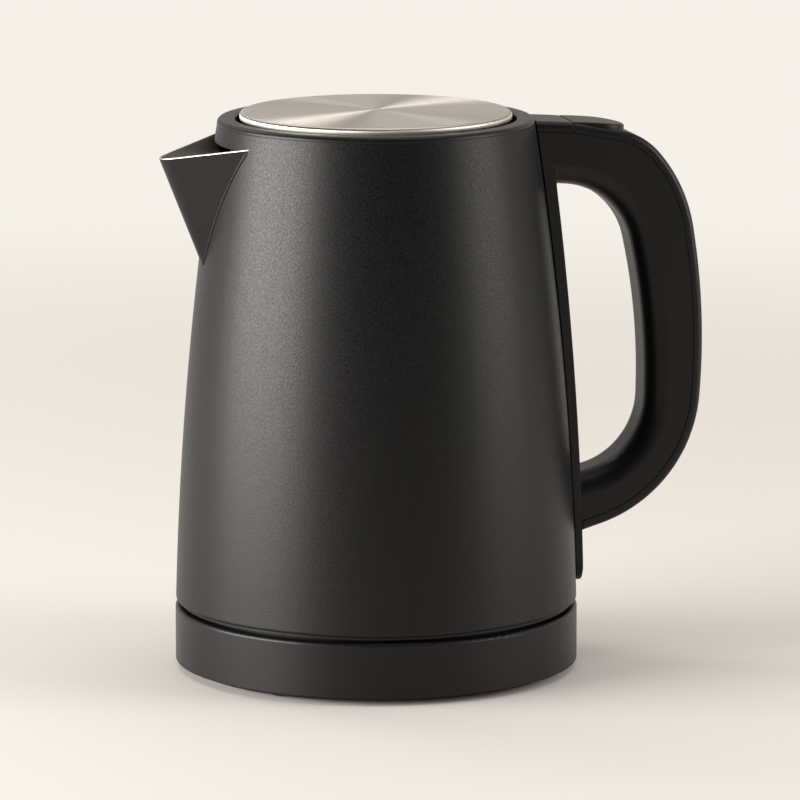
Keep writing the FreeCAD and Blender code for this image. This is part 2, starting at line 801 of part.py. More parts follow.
def make_body():
    shell = new_body("body_shell")
    inner = S.body_bottom + S.body_wall
    turn(shell, [
        (S.body_bottom_radius - S.body_flange, S.body_bottom),
        (S.body_bottom_radius, S.body_bottom, None, S.body_bow), (S.body_top_radius, S.body_top),
        (S.body_top_radius - S.body_wall, S.body_top, None, -S.body_bow),
        (S.body_bottom_radius - S.body_wall, inner), (S.body_bottom_radius - S.body_flange, inner)])
    round_edges(shell, S.body_edge_radius,
                lambda edge: near(edge.BoundBox.ZMax, S.body_bottom) and
                near(edge.BoundBox.XMax, S.body_bottom_radius))
    loft(shell, spout_sections(S.spout_wall, S.spout_corner_height - S.spout_wall), cut=True)
    window = switch_well_half + S.switch_well_wall + S.seat_gap
    rise = S.switch_well_half_height + S.seat_gap
    rearward(shell, handle_root_x, S.handle_reach,
             [box_outline(-window, window, S.switch_height - rise, S.switch_height + rise), latch_slot],
             circles=[(y, handle_screw_z, S.screw_radius + S.screw_gap) for y in handle_screw_y], cut=True)

    spout = new_body("spout")
    loft(spout, spout_sections(0.0, S.spout_corner_height + S.spout_tail))
    loft(spout, spout_sections(S.spout_wall, S.spout_corner_height + S.spout_tail * 2.0), cut=True)
    fall = (S.spout_corner_height - S.spout_tip_height) / (S.spout_reach - spout_corner_x)
    side_pad(spout, [(0.0, overhead), (-abroad, overhead),
                     (-abroad, S.spout_tip_height - fall * (abroad - S.spout_reach)),
                     (0.0, S.spout_corner_height + fall * spout_corner_x)], S.spout_reach, cut=True)
    turn(spout, body_outline(0.0), cut=True)

    strainer = new_body("spout_filter")
    low = S.spout_root_height - S.filter_foot
    high = S.spout_corner_height - S.filter_head
    outer = S.body_wall + S.seat_gap
    thick = outer + S.filter_wall
    turn(strainer, [(thick - body_radius(low), low), (thick - body_radius(high), high),
                    (outer - body_radius(high), high, None, S.body_bow), (outer - body_radius(low), low)],
         half_angle=S.filter_half_angle)
    pitch = S.filter_slot + S.filter_bar
    slots = [box_outline(pitch * step - S.filter_slot / 2.0, pitch * step + S.filter_slot / 2.0,
                         low + S.filter_rim, high - S.filter_rim) for step in range(-5, 6)]
    sketch = new_sketch(strainer, "YZ_Plane", slots)
    extrude(strainer, sketch, S.body_bottom_radius, cut=True)


# Collar ring and lid

def make_collar_and_lid():
    collar = new_body("top_collar")
    rim = S.body_top_radius - S.body_wall - S.seat_gap
    turn(collar, [
        (S.collar_inner, collar_foot), (S.collar_inner + S.collar_skirt, collar_foot),
        (S.collar_inner + S.collar_skirt, S.body_top - S.collar_flange),
        (rim, S.body_top - S.collar_flange),
        (rim, S.body_top), (S.body_top_radius, S.body_top),
        (S.body_top_radius, collar_top, S.collar_edge_radius),
        (S.collar_inner, collar_top, S.collar_inner_edge_radius)])
    pin_reach = root((S.collar_inner + S.collar_skirt) * (S.collar_inner + S.collar_skirt)
                     - lid_pivot_x * lid_pivot_x)
    hinge_pin = (lid_pivot_x, lid_pivot_z, S.lid_pin_radius)
    across(collar, pin_reach, circles=[hinge_pin], cut=True)
    rearward(collar, lid_pivot_x, S.body_top_radius - S.body_wall, [latch_slot], cut=True)

    pins = new_body("lid_hinge_pins")
    across(pins, pin_reach, circles=[hinge_pin])
    across(pins, S.lid_pin_inner, circles=[(lid_pivot_x, lid_pivot_z, S.lid_boss_half)], cut=True)

    plate = new_body("lid_plate")
    crown_bow = (S.lid_radius * S.lid_radius + S.lid_crown * S.lid_crown) / (S.lid_crown * 2.0)
    rim_foot = lid_plate_under - S.lid_rim
    turn(plate, [
        (0.0, lid_plate_under), (S.lid_radius - S.lid_sheet, lid_plate_under),
        (S.lid_radius - S.lid_sheet, rim_foot),
        (S.lid_radius, rim_foot), (S.lid_radius, lid_top, None, crown_bow), (0.0, lid_top + S.lid_crown)])
    round_edges(plate, S.lid_rim_radius,
                lambda edge: near(edge.BoundBox.ZMax, lid_top) and near(edge.BoundBox.XMax, S.lid_radius))

    moulding = new_body("lid_moulding")
    turn(moulding, [
        (lid_skirt, lid_foot), (lid_skirt, lid_plate_under), (0.0, lid_plate_under),
        (0.0, lid_plate_under - S.lid_wall), (lid_skirt - S.lid_wall, lid_plate_under - S.lid_wall),
        (lid_skirt - S.lid_wall, lid_foot)])
    boss_far = root(lid_skirt * lid_skirt - (lid_pivot_x + S.lid_boss_half) * (lid_pivot_x + S.lid_boss_half))
    coil_near = S.lid_pin_inner + S.lid_boss_width
    coil_far = coil_near + S.lid_spring_length + S.seat_gap * 2.0
    boss_low = lid_pivot_z - S.lid_boss_half
    for side in (-1.0, 1.0):
        upright(moulding, boss_low, lid_plate_under - S.lid_wall / 2.0,
                [box_outline(lid_pivot_x - S.lid_boss_half, lid_pivot_x + S.lid_boss_half,
                             low * side, high * side)
                 for low, high in ((S.lid_pin_inner, coil_near), (coil_far, boss_far))])
    across(moulding, S.lid_radius, circles=[(lid_pivot_x, lid_pivot_z, S.lid_pin_radius + S.run_gap)],
           cut=True)
    relief = S.lid_spring_radius + S.lid_spring_wire + S.slide_gap
    sketch = new_sketch(moulding, "XZ_Plane", circles=[(lid_pivot_x, lid_pivot_z, relief)], offset=coil_far)
    extrude(moulding, sketch, coil_far - coil_near, cut=True)
    posts = ring_spots(S.lid_screw_circle, 3, 60.0)
    liner_top = lid_foot + S.lid_sheet
    upright(moulding, liner_top, lid_plate_under - S.lid_wall / 2.0,
            circles=[(x, y, S.screw_boss_radius) for x, y in posts])
    upright(moulding, liner_top, liner_top + S.lid_screw_length,
            circles=[(x, y, S.screw_radius + S.screw_gap / 2.0) for x, y in posts], cut=True)

    seal = new_body("lid_seal")
    seal_low = lid_foot + S.lid_seal_drop
    turn(seal, [(lid_skirt, seal_low), (lid_skirt + S.lid_seal_width, seal_low + S.lid_seal_height / 2.0),
                (lid_skirt, seal_low + S.lid_seal_height)])

    liner = new_body("lid_liner")
    turn(liner, [(0.0, lid_foot), (lid_skirt - S.lid_wall - S.seat_gap, lid_foot),
                 (lid_skirt - S.lid_wall - S.seat_gap, liner_top), (0.0, liner_top)])
    upright(liner, lid_foot, liner_top, circles=[(x, y, S.screw_radius + S.screw_gap) for x, y in posts],
            cut=True)

    screws = new_body("lid_screws")
    upright(screws, lid_foot - S.screw_head_thick, lid_foot,
            circles=[(x, y, S.screw_head_radius) for x, y in posts])
    upright(screws, lid_foot, lid_foot + S.lid_screw_length,
            circles=[(x, y, S.screw_radius) for x, y in posts])

    spring("lid_spring", (lid_pivot_x, S.seat_gap - coil_far, lid_pivot_z), "y",
           S.lid_spring_radius, S.lid_spring_wire, S.lid_spring_length)


# Heater, control unit and bottom moulding

def make_heater():
    plate = new_body("heater_plate")
    floor = S.plate_height + S.plate_thick
    turn(plate, [
        (0.0, S.plate_height), (S.plate_radius, S.plate_height, S.plate_corner),
        (S.plate_radius, S.plate_height + S.plate_rim),
        (S.plate_radius - S.plate_thick, S.plate_height + S.plate_rim),
        (S.plate_radius - S.plate_thick, floor), (0.0, floor)])
    upright(plate, S.plate_height, floor,
            circles=[(S.steam_tube_x, S.steam_tube_y, S.steam_tube_radius + S.seat_gap)], cut=True)

    seal = new_body("plate_seal")
    lip = S.plate_radius - S.plate_corner
    turn(seal, [
        (lip, S.plate_height - S.seal_lip), (S.plate_radius + S.seal_thick, S.plate_height - S.seal_lip),
        (S.plate_radius + S.seal_thick, S.plate_height + S.plate_rim),
        (S.plate_radius, S.plate_height + S.plate_rim),
        (S.plate_radius, S.plate_height + S.plate_corner, None, -S.plate_corner), (lip, S.plate_height)])

    diffuser = new_body("diffuser_plate")
    diffuser_under = S.plate_height - S.diffuser_thick
    turn(diffuser, box_outline(0.0, S.diffuser_radius, diffuser_under, S.plate_height))
    lugs = ring_spots(S.control_lug_circle, 3, 60.0)
    upright(diffuser, diffuser_under, S.plate_height - S.body_wall,
            circles=[(x, y, S.screw_radius + S.screw_gap / 2.0) for x, y in lugs], cut=True)

    element_z = diffuser_under - S.element_radius
    ring = primitive("Part::Torus", (0.0, 0.0, element_z), Radius1=S.element_circle,
                     Radius2=S.element_radius, Angle3=S.element_sweep)
    turned = FreeCAD.Rotation(FreeCAD.Vector(0, 0, 1), 180.0 - S.element_sweep / 2.0)
    ring.Placement = FreeCAD.Placement(FreeCAD.Vector(0, 0, element_z), turned)
    ring.setExpression("Placement.Rotation.Angle", f"180 - {S.element_sweep.text} / 2")
    shapes = [ring]
    for side in (-1.0, 1.0):
        half_gap = (360.0 - S.element_sweep) / 2.0
        angle = half_gap * side
        cosine = Size(math.cos(math.radians(angle)), f"cos({angle.text})")
        sine = Size(math.sin(math.radians(angle)), f"sin({angle.text})")
        end_x, end_y = S.element_circle * cosine, S.element_circle * sine
        shapes.append(primitive("Part::Sphere", (end_x, end_y, element_z), Radius=S.element_radius))
        shapes.append(primitive("Part::Cylinder", (end_x, end_y, element_z - S.terminal_length),
                                Radius=S.terminal_radius, Height=S.terminal_length))
    element = doc.addObject("Part::MultiFuse", "heating_element")
    element.Shapes = shapes
    keep(element, "heating_element")

    control = new_body("control_unit")
    upright(control, cup_top, S.control_top, circles=[(0.0, 0.0, S.control_radius)])
    lug_foot = diffuser_under - S.control_lug_thick
    upright(control, lug_foot, diffuser_under,
            circles=[(x, y, S.control_lug_radius) for x, y in lugs])
    box_end = trip_x + S.control_box_half
    upright(control, cup_top, S.control_top,
            [box_outline(0.0, box_end, -S.control_box_half, S.control_box_half)])
    slot = S.trip_half_width + S.slide_gap
    upright(control, cup_top, S.control_top,
            [box_outline(trip_x - S.control_box_half, box_end, -slot, slot)], cut=True)
    across(control, S.control_box_half, circles=[(trip_x, S.switch_height, S.switch_pin_radius)], cut=True)
    upright(control, cup_top, diffuser_under,
            circles=[(x, y, S.screw_radius + S.screw_gap) for x, y in lugs], cut=True)

    discs = new_body("bimetal_discs")
    upright(discs, S.control_top, S.control_top + S.bimetal_thick,
            circles=[(-S.bimetal_set_back, S.bimetal_spread * side, S.bimetal_radius)
                     for side in (-1.0, 1.0)])

    screws = new_body("control_screws")
    upright(screws, lug_foot - S.screw_head_thick, lug_foot,
            circles=[(x, y, S.screw_head_radius) for x, y in lugs])
    upright(screws, lug_foot, S.plate_height - S.body_wall - S.screw_gap,
            circles=[(x, y, S.screw_radius) for x, y in lugs])

    cup = new_body("kettle_connector")
    turn(cup, [(0.0, cup_ceiling), (cup_inner, cup_ceiling), (cup_inner, cup_foot), (cup_outer, cup_foot),
               (cup_outer, cup_top), (0.0, cup_top)])

    pins = new_body("connector_pins")
    ring_middle = (S.groove_inner + S.groove_outer - S.contact_thick) / 2.0
    turn(pins, [(0.0, hub_floor + S.pin_lift), (S.pin_radius, hub_floor + S.pin_lift, S.pin_tip_radius),
                (S.pin_radius, cup_ceiling), (0.0, cup_ceiling)],
         box_outline(ring_middle - S.ring_thick / 2.0, ring_middle + S.ring_thick / 2.0,
                     groove_floor + S.ring_lift, cup_ceiling))

    bottom = new_body("bottom_cover")
    inner = S.bottom_skirt - S.bottom_wall
    floor_low = S.base_deck + S.bottom_floor_lift
    floor_high = floor_low + S.bottom_wall
    spigot = S.body_bottom + S.bottom_spigot
    well = cup_outer + S.seat_gap
    turn(bottom, [
        (well, floor_low), (inner, floor_low), (inner, S.base_deck), (S.bottom_skirt, S.base_deck),
        (S.bottom_skirt, S.body_bottom - S.bottom_lip_thick),
        (S.bottom_skirt + S.bottom_lip, S.body_bottom - S.bottom_lip_thick),
        (S.bottom_skirt + S.bottom_lip, S.body_bottom), (S.bottom_skirt, S.body_bottom),
        (S.bottom_skirt, spigot),
        (inner, spigot), (inner, floor_high), (well + S.bottom_wall, floor_high),
        (well + S.bottom_wall, spigot),
        (well, spigot)])

    tube_low = S.plate_height - S.steam_tube_tail
    sleeve("steam_tube", (S.steam_tube_x, S.steam_tube_y, tube_low), "z",
           S.steam_tube_radius - S.steam_tube_wall, S.steam_tube_radius, S.steam_tube_top - tube_low)


# Spine plate and handle

def on_side(edge, half_width):
    """Whether an edge lies in one of the two side faces of a side pad."""
    box = edge.BoundBox
    return near(box.YMin, box.YMax) and near(abs(box.YMin), half_width)


def make_handle():
    spine = new_body("spine_plate")
    side_pad(spine, [(handle_root_x, S.spine_foot), (spine_face_foot, S.spine_foot, None, S.body_bow),
                     (spine_face_head, roof_z), (handle_root_x, roof_z)], S.spine_half_width)
    round_edges(spine, S.spine_foot_radius,
                lambda edge: near(edge.BoundBox.ZMax, S.spine_foot)
                and near(edge.BoundBox.YMin, edge.BoundBox.YMax)
                and near(abs(edge.BoundBox.YMin), S.spine_half_width))
    turn(spine, body_outline(S.spine_gap), cut=True)
    well_out = switch_well_half + S.switch_well_wall
    rearward(spine, switch_well_inner, S.body_bottom_radius + S.spine_gap + S.spine_foot_stand / 2.0,
             [box_outline(-well_out, well_out, S.switch_height - S.switch_well_half_height,
                          S.switch_height + S.switch_well_half_height)])
    gap_half = S.switch_well_half_height - S.switch_well_wall
    rearward(spine, switch_well_inner - S.switch_inset, S.handle_reach,
             [box_outline(-switch_well_half, switch_well_half, S.switch_height - gap_half,
                          S.switch_height + gap_half)], cut=True)
    across(spine, well_out, circles=[(switch_x, S.switch_height, S.switch_pin_radius)], cut=True)
    rearward(spine, handle_root_x, S.handle_reach,
             circles=[(0.0, height, S.screw_radius + S.screw_gap) for height in toe_screw_z], cut=True)
    for height in toe_screw_z:
        rearward(spine, handle_root_x, toe_screw_seat(height),
                 circles=[(0.0, height, S.screw_head_radius + S.screw_gap)], cut=True)

    shell = new_body("handle_shell")
    seam = soften(handle_outer, inset=-S.cover_depth, closed=False)
    side_pad(shell, None, S.handle_half_width, points=seam + soften(handle_inner, closed=False))
    doc.recompute()
    inner_x = [float(corner[0]) for corner in soften(handle_inner, closed=False)]
    inner_z = [float(corner[1]) for corner in soften(handle_inner, closed=False)]

    def on_grip(edge):
        ends = [(vertex.Point.x, vertex.Point.z) for vertex in edge.Vertexes]
        return on_side(edge, S.handle_half_width) and all(
            any(near(x, px) and near(z, pz) for px, pz in zip(inner_x, inner_z)) for x, z in ends)

    round_edges(shell, S.grip_edge_radius, on_grip)
    turn(shell, body_outline(S.spine_gap), cut=True)
    side_pad(shell, [(0.0, S.spine_foot), (spine_face_foot, S.spine_foot, None, S.body_bow),
                     (spine_face_head, roof_z), (0.0, roof_z)], S.spine_half_width * 2.0, cut=True)
    upright(shell, latch_floor, crown_z, [button_outline(S.button_gap)], cut=True)
    rearward(shell, handle_root_x, button_pivot_x, [latch_slot], cut=True)
    across(shell, button_pin_half, circles=[(button_pivot_x, button_pivot_z, S.button_pin_radius)],
           cut=True)
    rearward(shell, handle_root_x, S.body_top_radius + S.base_screw_length,
             circles=[(y, handle_screw_z, S.screw_radius + S.screw_gap / 2.0) for y in handle_screw_y],
             cut=True)
    rearward(shell, handle_root_x, S.body_bottom_radius + S.base_screw_length,
             circles=[(0.0, height, S.screw_radius + S.screw_gap / 2.0) for height in toe_screw_z],
             cut=True)

    band = soften(handle_outer, closed=False) + reverse(seam)
    bridge = new_body("hinge_cover")
    side_pad(bridge, None, S.handle_half_width, points=band)
    round_outer(bridge)
    side_pad(bridge, box_outline(S.handle_crown_x, abroad, 0.0, overhead),
             S.handle_half_width * 2.0, cut=True)
    turn(bridge, body_outline(S.spine_gap), cut=True)

    cover = new_body("handle_cover")
    side_pad(cover, None, S.handle_half_width, points=band)
    round_outer(cover)
    side_pad(cover, box_outline(0.0, S.handle_crown_x + S.cover_split, roof_z, overhead),
             S.handle_half_width * 2.0, cut=True)
    upright(cover, latch_floor, overhead, [button_outline(S.button_gap)], cut=True)
    side_pad(cover, [(0.0, S.spine_foot), (spine_face_foot + S.cover_split, S.spine_foot, None, S.body_bow),
                     (spine_face_head + S.cover_split, roof_z), (0.0, roof_z)],
             S.spine_half_width * 2.0, cut=True)

    screws = new_body("handle_screws")
    wall_in = body_radius(handle_screw_z + S.screw_head_radius) - S.body_wall
    reach = S.latch_half_width + S.screw_radius + S.screw_head_radius
    seat_x = root(wall_in * wall_in - reach * reach)
    tip = S.base_screw_length - S.screw_gap
    rearward(screws, seat_x - S.screw_head_thick, seat_x,
             circles=[(y, handle_screw_z, S.screw_head_radius) for y in handle_screw_y])
    rearward(screws, seat_x, S.body_top_radius + tip,
             circles=[(y, handle_screw_z, S.screw_radius) for y in handle_screw_y])
    for height in toe_screw_z:
        seat_x = toe_screw_seat(height)
        rearward(screws, seat_x - S.screw_head_thick, seat_x, circles=[(0.0, height, S.screw_head_radius)])
        rearward(screws, seat_x, S.body_bottom_radius + tip, circles=[(0.0, height, S.screw_radius)])


def toe_screw_seat(height):
    """Where a lower handle screw's head seats, in a recess in the spine plate's inner face."""
    return body_radius(height) + S.spine_gap + S.screw_head_thick


def reverse(points):
    """The same open path the other way round."""
    turned = []
    for index in range(len(points) - 1, -1, -1):
        radius = points[index - 1][2] if index else None
        turned.append((points[index][0], points[index][1], None if radius is None else -radius))
    return turned


def round_outer(body):
    """Rounds the two long outer edges of a cover band."""
    ends = [(float(point[0]), float(point[1])) for point in soften(handle_outer, closed=False)]
    doc.recompute()

    def on_back(edge):
        spots = [(vertex.Point.x, vertex.Point.z) for vertex in edge.Vertexes]
        return on_side(edge, S.handle_half_width) and all(
            any(near(x, px) and near(z, pz) for px, pz in ends) for x, z in spots)

    round_edges(body, S.cover_edge_radius, on_back)


# Thumb button, latch, and their pins and springs

def button_outline(gap):
    """Plan of the button: straight front, round end, with a gap round it."""
    half = S.button_half_width + gap
    end_radius = S.button_half_width - S.seat_gap + gap
    return [(button_front - gap, -half), (button_end + gap, -half, end_radius),
            (button_end + gap, half, end_radius),
            (button_front - gap, half)]


def make_button():
    button = new_body("release_button")
    upright(button, button_foot, crown_z + S.button_proud, [button_outline(0.0)])
    fall = S.shoulder_drop / (S.handle_reach - S.shoulder_back - S.handle_crown_x)
    rear_top = crown_z - fall * S.button_length + S.button_proud
    side_pad(button, [(button_end + S.button_gap, rear_top, None, S.button_bow),
                      (button_front - S.button_gap, crown_z), (button_front - S.button_gap, overhead),
                      (button_end + S.button_gap, overhead)], S.button_half_width * 2.0, cut=True)
    round_edges(button, S.button_edge_radius,
                lambda edge: edge.BoundBox.ZMin > rear_top - S.button_edge_radius
                and edge.BoundBox.ZMax < crown_z + S.button_proud
                and not (near(edge.BoundBox.XMax, button_front) and near(edge.BoundBox.XMin, button_front)))
    hollow = S.latch_half_width + S.slide_gap
    upright(button, button_foot, rear_top - S.button_roof,
            [box_outline(button_pivot_x + S.button_boss_radius * 2.0, button_end - S.button_roof,
                         -hollow, hollow)],
            cut=True)
    rib_tip = latch_high + S.slide_gap
    rib_x = button_pivot_x + S.latch_ramp_back - S.latch_ramp_height
    rib_back = rib_x + S.latch_ramp_slope * S.latch_ramp_height
    rib_top = rear_top - S.button_roof / 2.0
    side_pad(button, [(rib_x - S.button_roof, rib_tip), (rib_x, rib_tip),
                      (rib_back, rib_tip + S.latch_ramp_height),
                      (rib_back, rib_top), (rib_x - S.button_roof, rib_top)], S.latch_rib_half)
    boss_inner = S.button_half_width - S.button_boss_width
    for edge_y in (S.button_half_width, -boss_inner):
        for shape in ({"circles": [(button_pivot_x, button_pivot_z, S.button_boss_radius)]},
                      {"outlines": [box_outline(button_pivot_x - S.button_boss_radius,
                                                button_pivot_x + S.button_boss_radius,
                                                button_pivot_z, button_foot + S.button_roof)]}):
            sketch = new_sketch(button, "XZ_Plane", offset=edge_y, **shape)
            extrude(button, sketch, S.button_boss_width, reverse=True)
    across(button, button_pin_half,
           circles=[(button_pivot_x, button_pivot_z, S.button_pin_radius + S.run_gap)],
           cut=True)

    pin = new_body("button_pin")
    across(pin, button_pin_half, circles=[(button_pivot_x, button_pivot_z, S.button_pin_radius)])

    slider = new_body("latch_slider")
    nose = S.collar_inner + S.latch_nose_gap
    ramp_x = rib_x + S.latch_ramp_gap - S.latch_ramp_slope * S.slide_gap
    ramp_back = ramp_x + S.latch_ramp_slope * S.latch_ramp_height
    ramp_top = latch_high + S.latch_ramp_height
    side_pad(slider, [(nose, latch_low), (latch_end, latch_low), (latch_end, latch_high),
                      (ramp_back + S.latch_ramp_top, latch_high), (ramp_back + S.latch_ramp_top, ramp_top),
                      (ramp_back, ramp_top), (ramp_x, latch_high), (nose, latch_high)], S.latch_half_width)
    side_pad(slider, box_outline(ramp_x - S.latch_window, ramp_x, latch_low, latch_high),
             S.latch_window_half, cut=True)

    tongue = new_body("latch_tongue")
    side_pad(tongue, box_outline(lid_skirt - S.latch_hold, S.handle_crown_x - S.latch_half_width,
                                 latch_high,
                                 latch_high + S.latch_tongue_thick), S.latch_half_width - S.slide_gap)

    spring_y = S.latch_half_width + S.slide_gap + S.seat_gap + S.button_spring_radius + S.button_spring_wire
    spring("button_spring", (button_pivot_x + S.button_spring_back, spring_y, latch_floor), "z",
           S.button_spring_radius, S.button_spring_wire, button_foot - latch_floor - S.seat_gap)
    spring("latch_spring", (latch_end, 0.0, latch_low + S.latch_thick / 2.0), "x",
           S.latch_spring_radius, S.latch_spring_wire, button_end + S.button_gap - latch_end - S.seat_gap)


# Power switch and the control's trip lever

def make_switch():
    meet = switch_x - S.switch_arm
    half_arm = S.switch_arm_thick / 2.0
    low = S.switch_height - S.switch_half_height
    high = S.switch_height + S.switch_half_height
    switch_pin = (switch_x, S.switch_height, S.switch_pin_radius)
    trip_pin = (trip_x, S.switch_height, S.switch_pin_radius)

    switch = new_body("power_switch")
    face = spine_face_foot + S.switch_proud
    side_pad(switch, [
        (switch_x - half_arm, S.switch_height - S.switch_arm_thick, half_arm),
        (face - S.switch_arm_thick, low),
        (face, low, S.switch_proud), (face, high, S.switch_proud), (face - S.switch_arm_thick, high),
        (switch_x - half_arm, S.switch_height + S.switch_arm_thick, half_arm)], S.switch_half_width)
    fork = S.trip_tip_radius + S.slide_gap
    side_pad(switch, [
        (switch_x, S.switch_height - half_arm), (switch_x, S.switch_height + half_arm),
        (meet - fork, S.switch_height + S.switch_arm_thick),
        (meet - fork, S.switch_height - S.switch_arm_thick)],
        S.switch_arm_half)
    side_pad(switch, box_outline(meet - fork * 2.0, meet + fork, S.switch_height - fork,
                                 S.switch_height + fork),
             S.switch_arm_half * 2.0, cut=True)
    across(switch, S.switch_half_width,
           circles=[(switch_x, S.switch_height, S.switch_pin_radius + S.run_gap)], cut=True)

    pin = new_body("switch_pin")
    across(pin, switch_well_half + S.switch_well_wall, circles=[switch_pin])

    lever = new_body("trip_lever")
    across(lever, S.trip_half_width, circles=[(trip_x, S.switch_height, S.trip_hub_radius)])
    side_pad(lever, box_outline(trip_x, meet, S.switch_height - S.trip_tip_radius,
                                S.switch_height + S.trip_tip_radius), S.trip_half_width)
    across(lever, S.trip_half_width, circles=[(meet, S.switch_height, S.trip_tip_radius)])
    across(lever, S.trip_half_width, circles=[(trip_x, S.switch_height, S.switch_pin_radius + S.run_gap)],
           cut=True)

    pin = new_body("trip_lever_pin")
    across(pin, S.control_box_half, circles=[trip_pin])


make_base()
make_body()
make_collar_and_lid()
make_heater()
make_handle()
make_button()
make_switch()
doc.recompute()

# Nothing is written unless every object came out sound
for item in doc.Objects:
    if "Invalid" in item.State or "Error" in item.State:
        raise RuntimeError(f"{item.Label} failed: {item.State}")
    if item.TypeId in ("PartDesign::Pocket", "PartDesign::Groove", "PartDesign::SubtractiveLoft"):
        if item.Shape.Volume > item.BaseFeature.Shape.Volume - 0.01:
            raise RuntimeError(f"{item.Label} cuts nothing")
for node in NODES:
    if node.Shape.isNull() or not node.Shape.isValid():
        raise RuntimeError(f"{node.Label} has no sound shape")

os.makedirs("parts", exist_ok=True)
for node in NODES:
    node.Shape.exportStep(f"parts/{node.Label}.step")
    print(f"{node.Label}: {len(node.Shape.Solids)} solid(s), {node.Shape.Volume:.1f} mm3")
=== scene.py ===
"""Looks of an electric kettle on its power base: finishes, trim, studio floor, light and camera."""

import math

import bmesh
import bpy
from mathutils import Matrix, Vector


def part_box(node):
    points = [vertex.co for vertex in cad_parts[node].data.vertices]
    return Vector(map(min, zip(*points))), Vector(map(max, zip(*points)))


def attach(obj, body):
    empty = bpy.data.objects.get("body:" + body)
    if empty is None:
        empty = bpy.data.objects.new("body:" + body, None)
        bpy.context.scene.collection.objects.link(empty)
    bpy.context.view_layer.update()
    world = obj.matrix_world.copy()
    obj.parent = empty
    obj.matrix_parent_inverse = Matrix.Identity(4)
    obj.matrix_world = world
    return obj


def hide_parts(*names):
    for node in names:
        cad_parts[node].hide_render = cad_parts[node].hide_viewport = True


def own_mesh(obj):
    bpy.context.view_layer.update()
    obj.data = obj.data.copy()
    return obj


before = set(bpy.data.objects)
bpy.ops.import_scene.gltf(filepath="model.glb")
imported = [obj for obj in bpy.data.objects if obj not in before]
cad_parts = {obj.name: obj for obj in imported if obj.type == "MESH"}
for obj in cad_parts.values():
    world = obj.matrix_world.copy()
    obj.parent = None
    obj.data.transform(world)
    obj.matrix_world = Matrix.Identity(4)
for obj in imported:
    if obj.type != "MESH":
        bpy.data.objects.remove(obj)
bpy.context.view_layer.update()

MM = 0.001

# The mix node's sockets go by number, because its numbers, directions and colours share their names
SHARE, NUMBER_A, NUMBER_B, WAY_A, WAY_B, COLOUR_A, COLOUR_B = 0, 2, 3, 4, 5, 6, 7
NUMBER_OUT, WAY_OUT, COLOUR_OUT = 0, 1, 2


def srgb(code):
    """A hex colour as the linear values that shaders take."""
    parts = [int(code[i:i + 2], 16) / 255.0 for i in (0, 2, 4)]
    return [p / 12.92 if p <= 0.04045 else ((p + 0.055) / 1.055) ** 2.4 for p in parts] + [1.0]


def add(tree, kind, feeds, **settings):
    """One shader node: its settings, and for each socket a value or the output that feeds it."""
    node = tree.nodes.new(kind)
    for name, value in settings.items():
        setattr(node, name, value)
    for socket, value in feeds.items():
        if isinstance(value, bpy.types.NodeSocket):
            tree.links.new(value, node.inputs[socket])
        else:
            node.inputs[socket].default_value = value
    return node


def start(name, **sockets):
    """A new finish with its plain numbers set on the shader, and the coordinates of the piece."""
    material = bpy.data.materials.new(name)
    material.use_nodes = True
    tree = material.node_tree
    surface = tree.nodes["Principled BSDF"]
    for socket, value in sockets.items():
        surface.inputs[socket.replace("_", " ")].default_value = value
    return material, tree, surface, add(tree, "ShaderNodeTexCoord", {})


def link(tree, surface, feeds):
    """Feeds sockets of a shader that is already there, each from the output given for it."""
    for socket, source in feeds.items():
        tree.links.new(source, surface.inputs[socket])


def stand(name, data):
    """A new object in the scene, from its mesh, curve, lamp or camera."""
    thing = bpy.data.objects.new(name, data)
    bpy.context.scene.collection.objects.link(thing)
    return thing


# Finishes

PAINT_GRAIN = 0.7 * MM
PAINT_FLOW = 5.0 * MM
ABS_GRAIN = 0.45 * MM
RUBBER_GRAIN = 0.8 * MM
MOULD_CLOUD = 22.0 * MM
MOULD_EDGE = 0.6 * MM
BRUSH_WIDTH = 0.5 * MM
BRUSH_LENGTH = 18.0 * MM
CAST_GRAIN = 1.0 * MM
SPIN_LINE = 0.45 * MM

# Specular level of paint and plastics, and the span in which most of a noise lies
POLYMER_SHINE = 0.27
NOISE_LOW, NOISE_HIGH = 0.3, 0.7
BRIGHT_STEEL = "CFCBC5"
BARE_ROUGHNESS = 0.55
LEVEL = (1.0, 1.0, 0.0)

# How a face looks: inward to the vessel's axis, up as the rim does, or flat up as the lid does
INSIDE_FACING = -0.0005
RIM_FACING = 0.75
LID_FACING = 0.96
BUFF_FROM, BUFF_TO = 0.85, 0.985


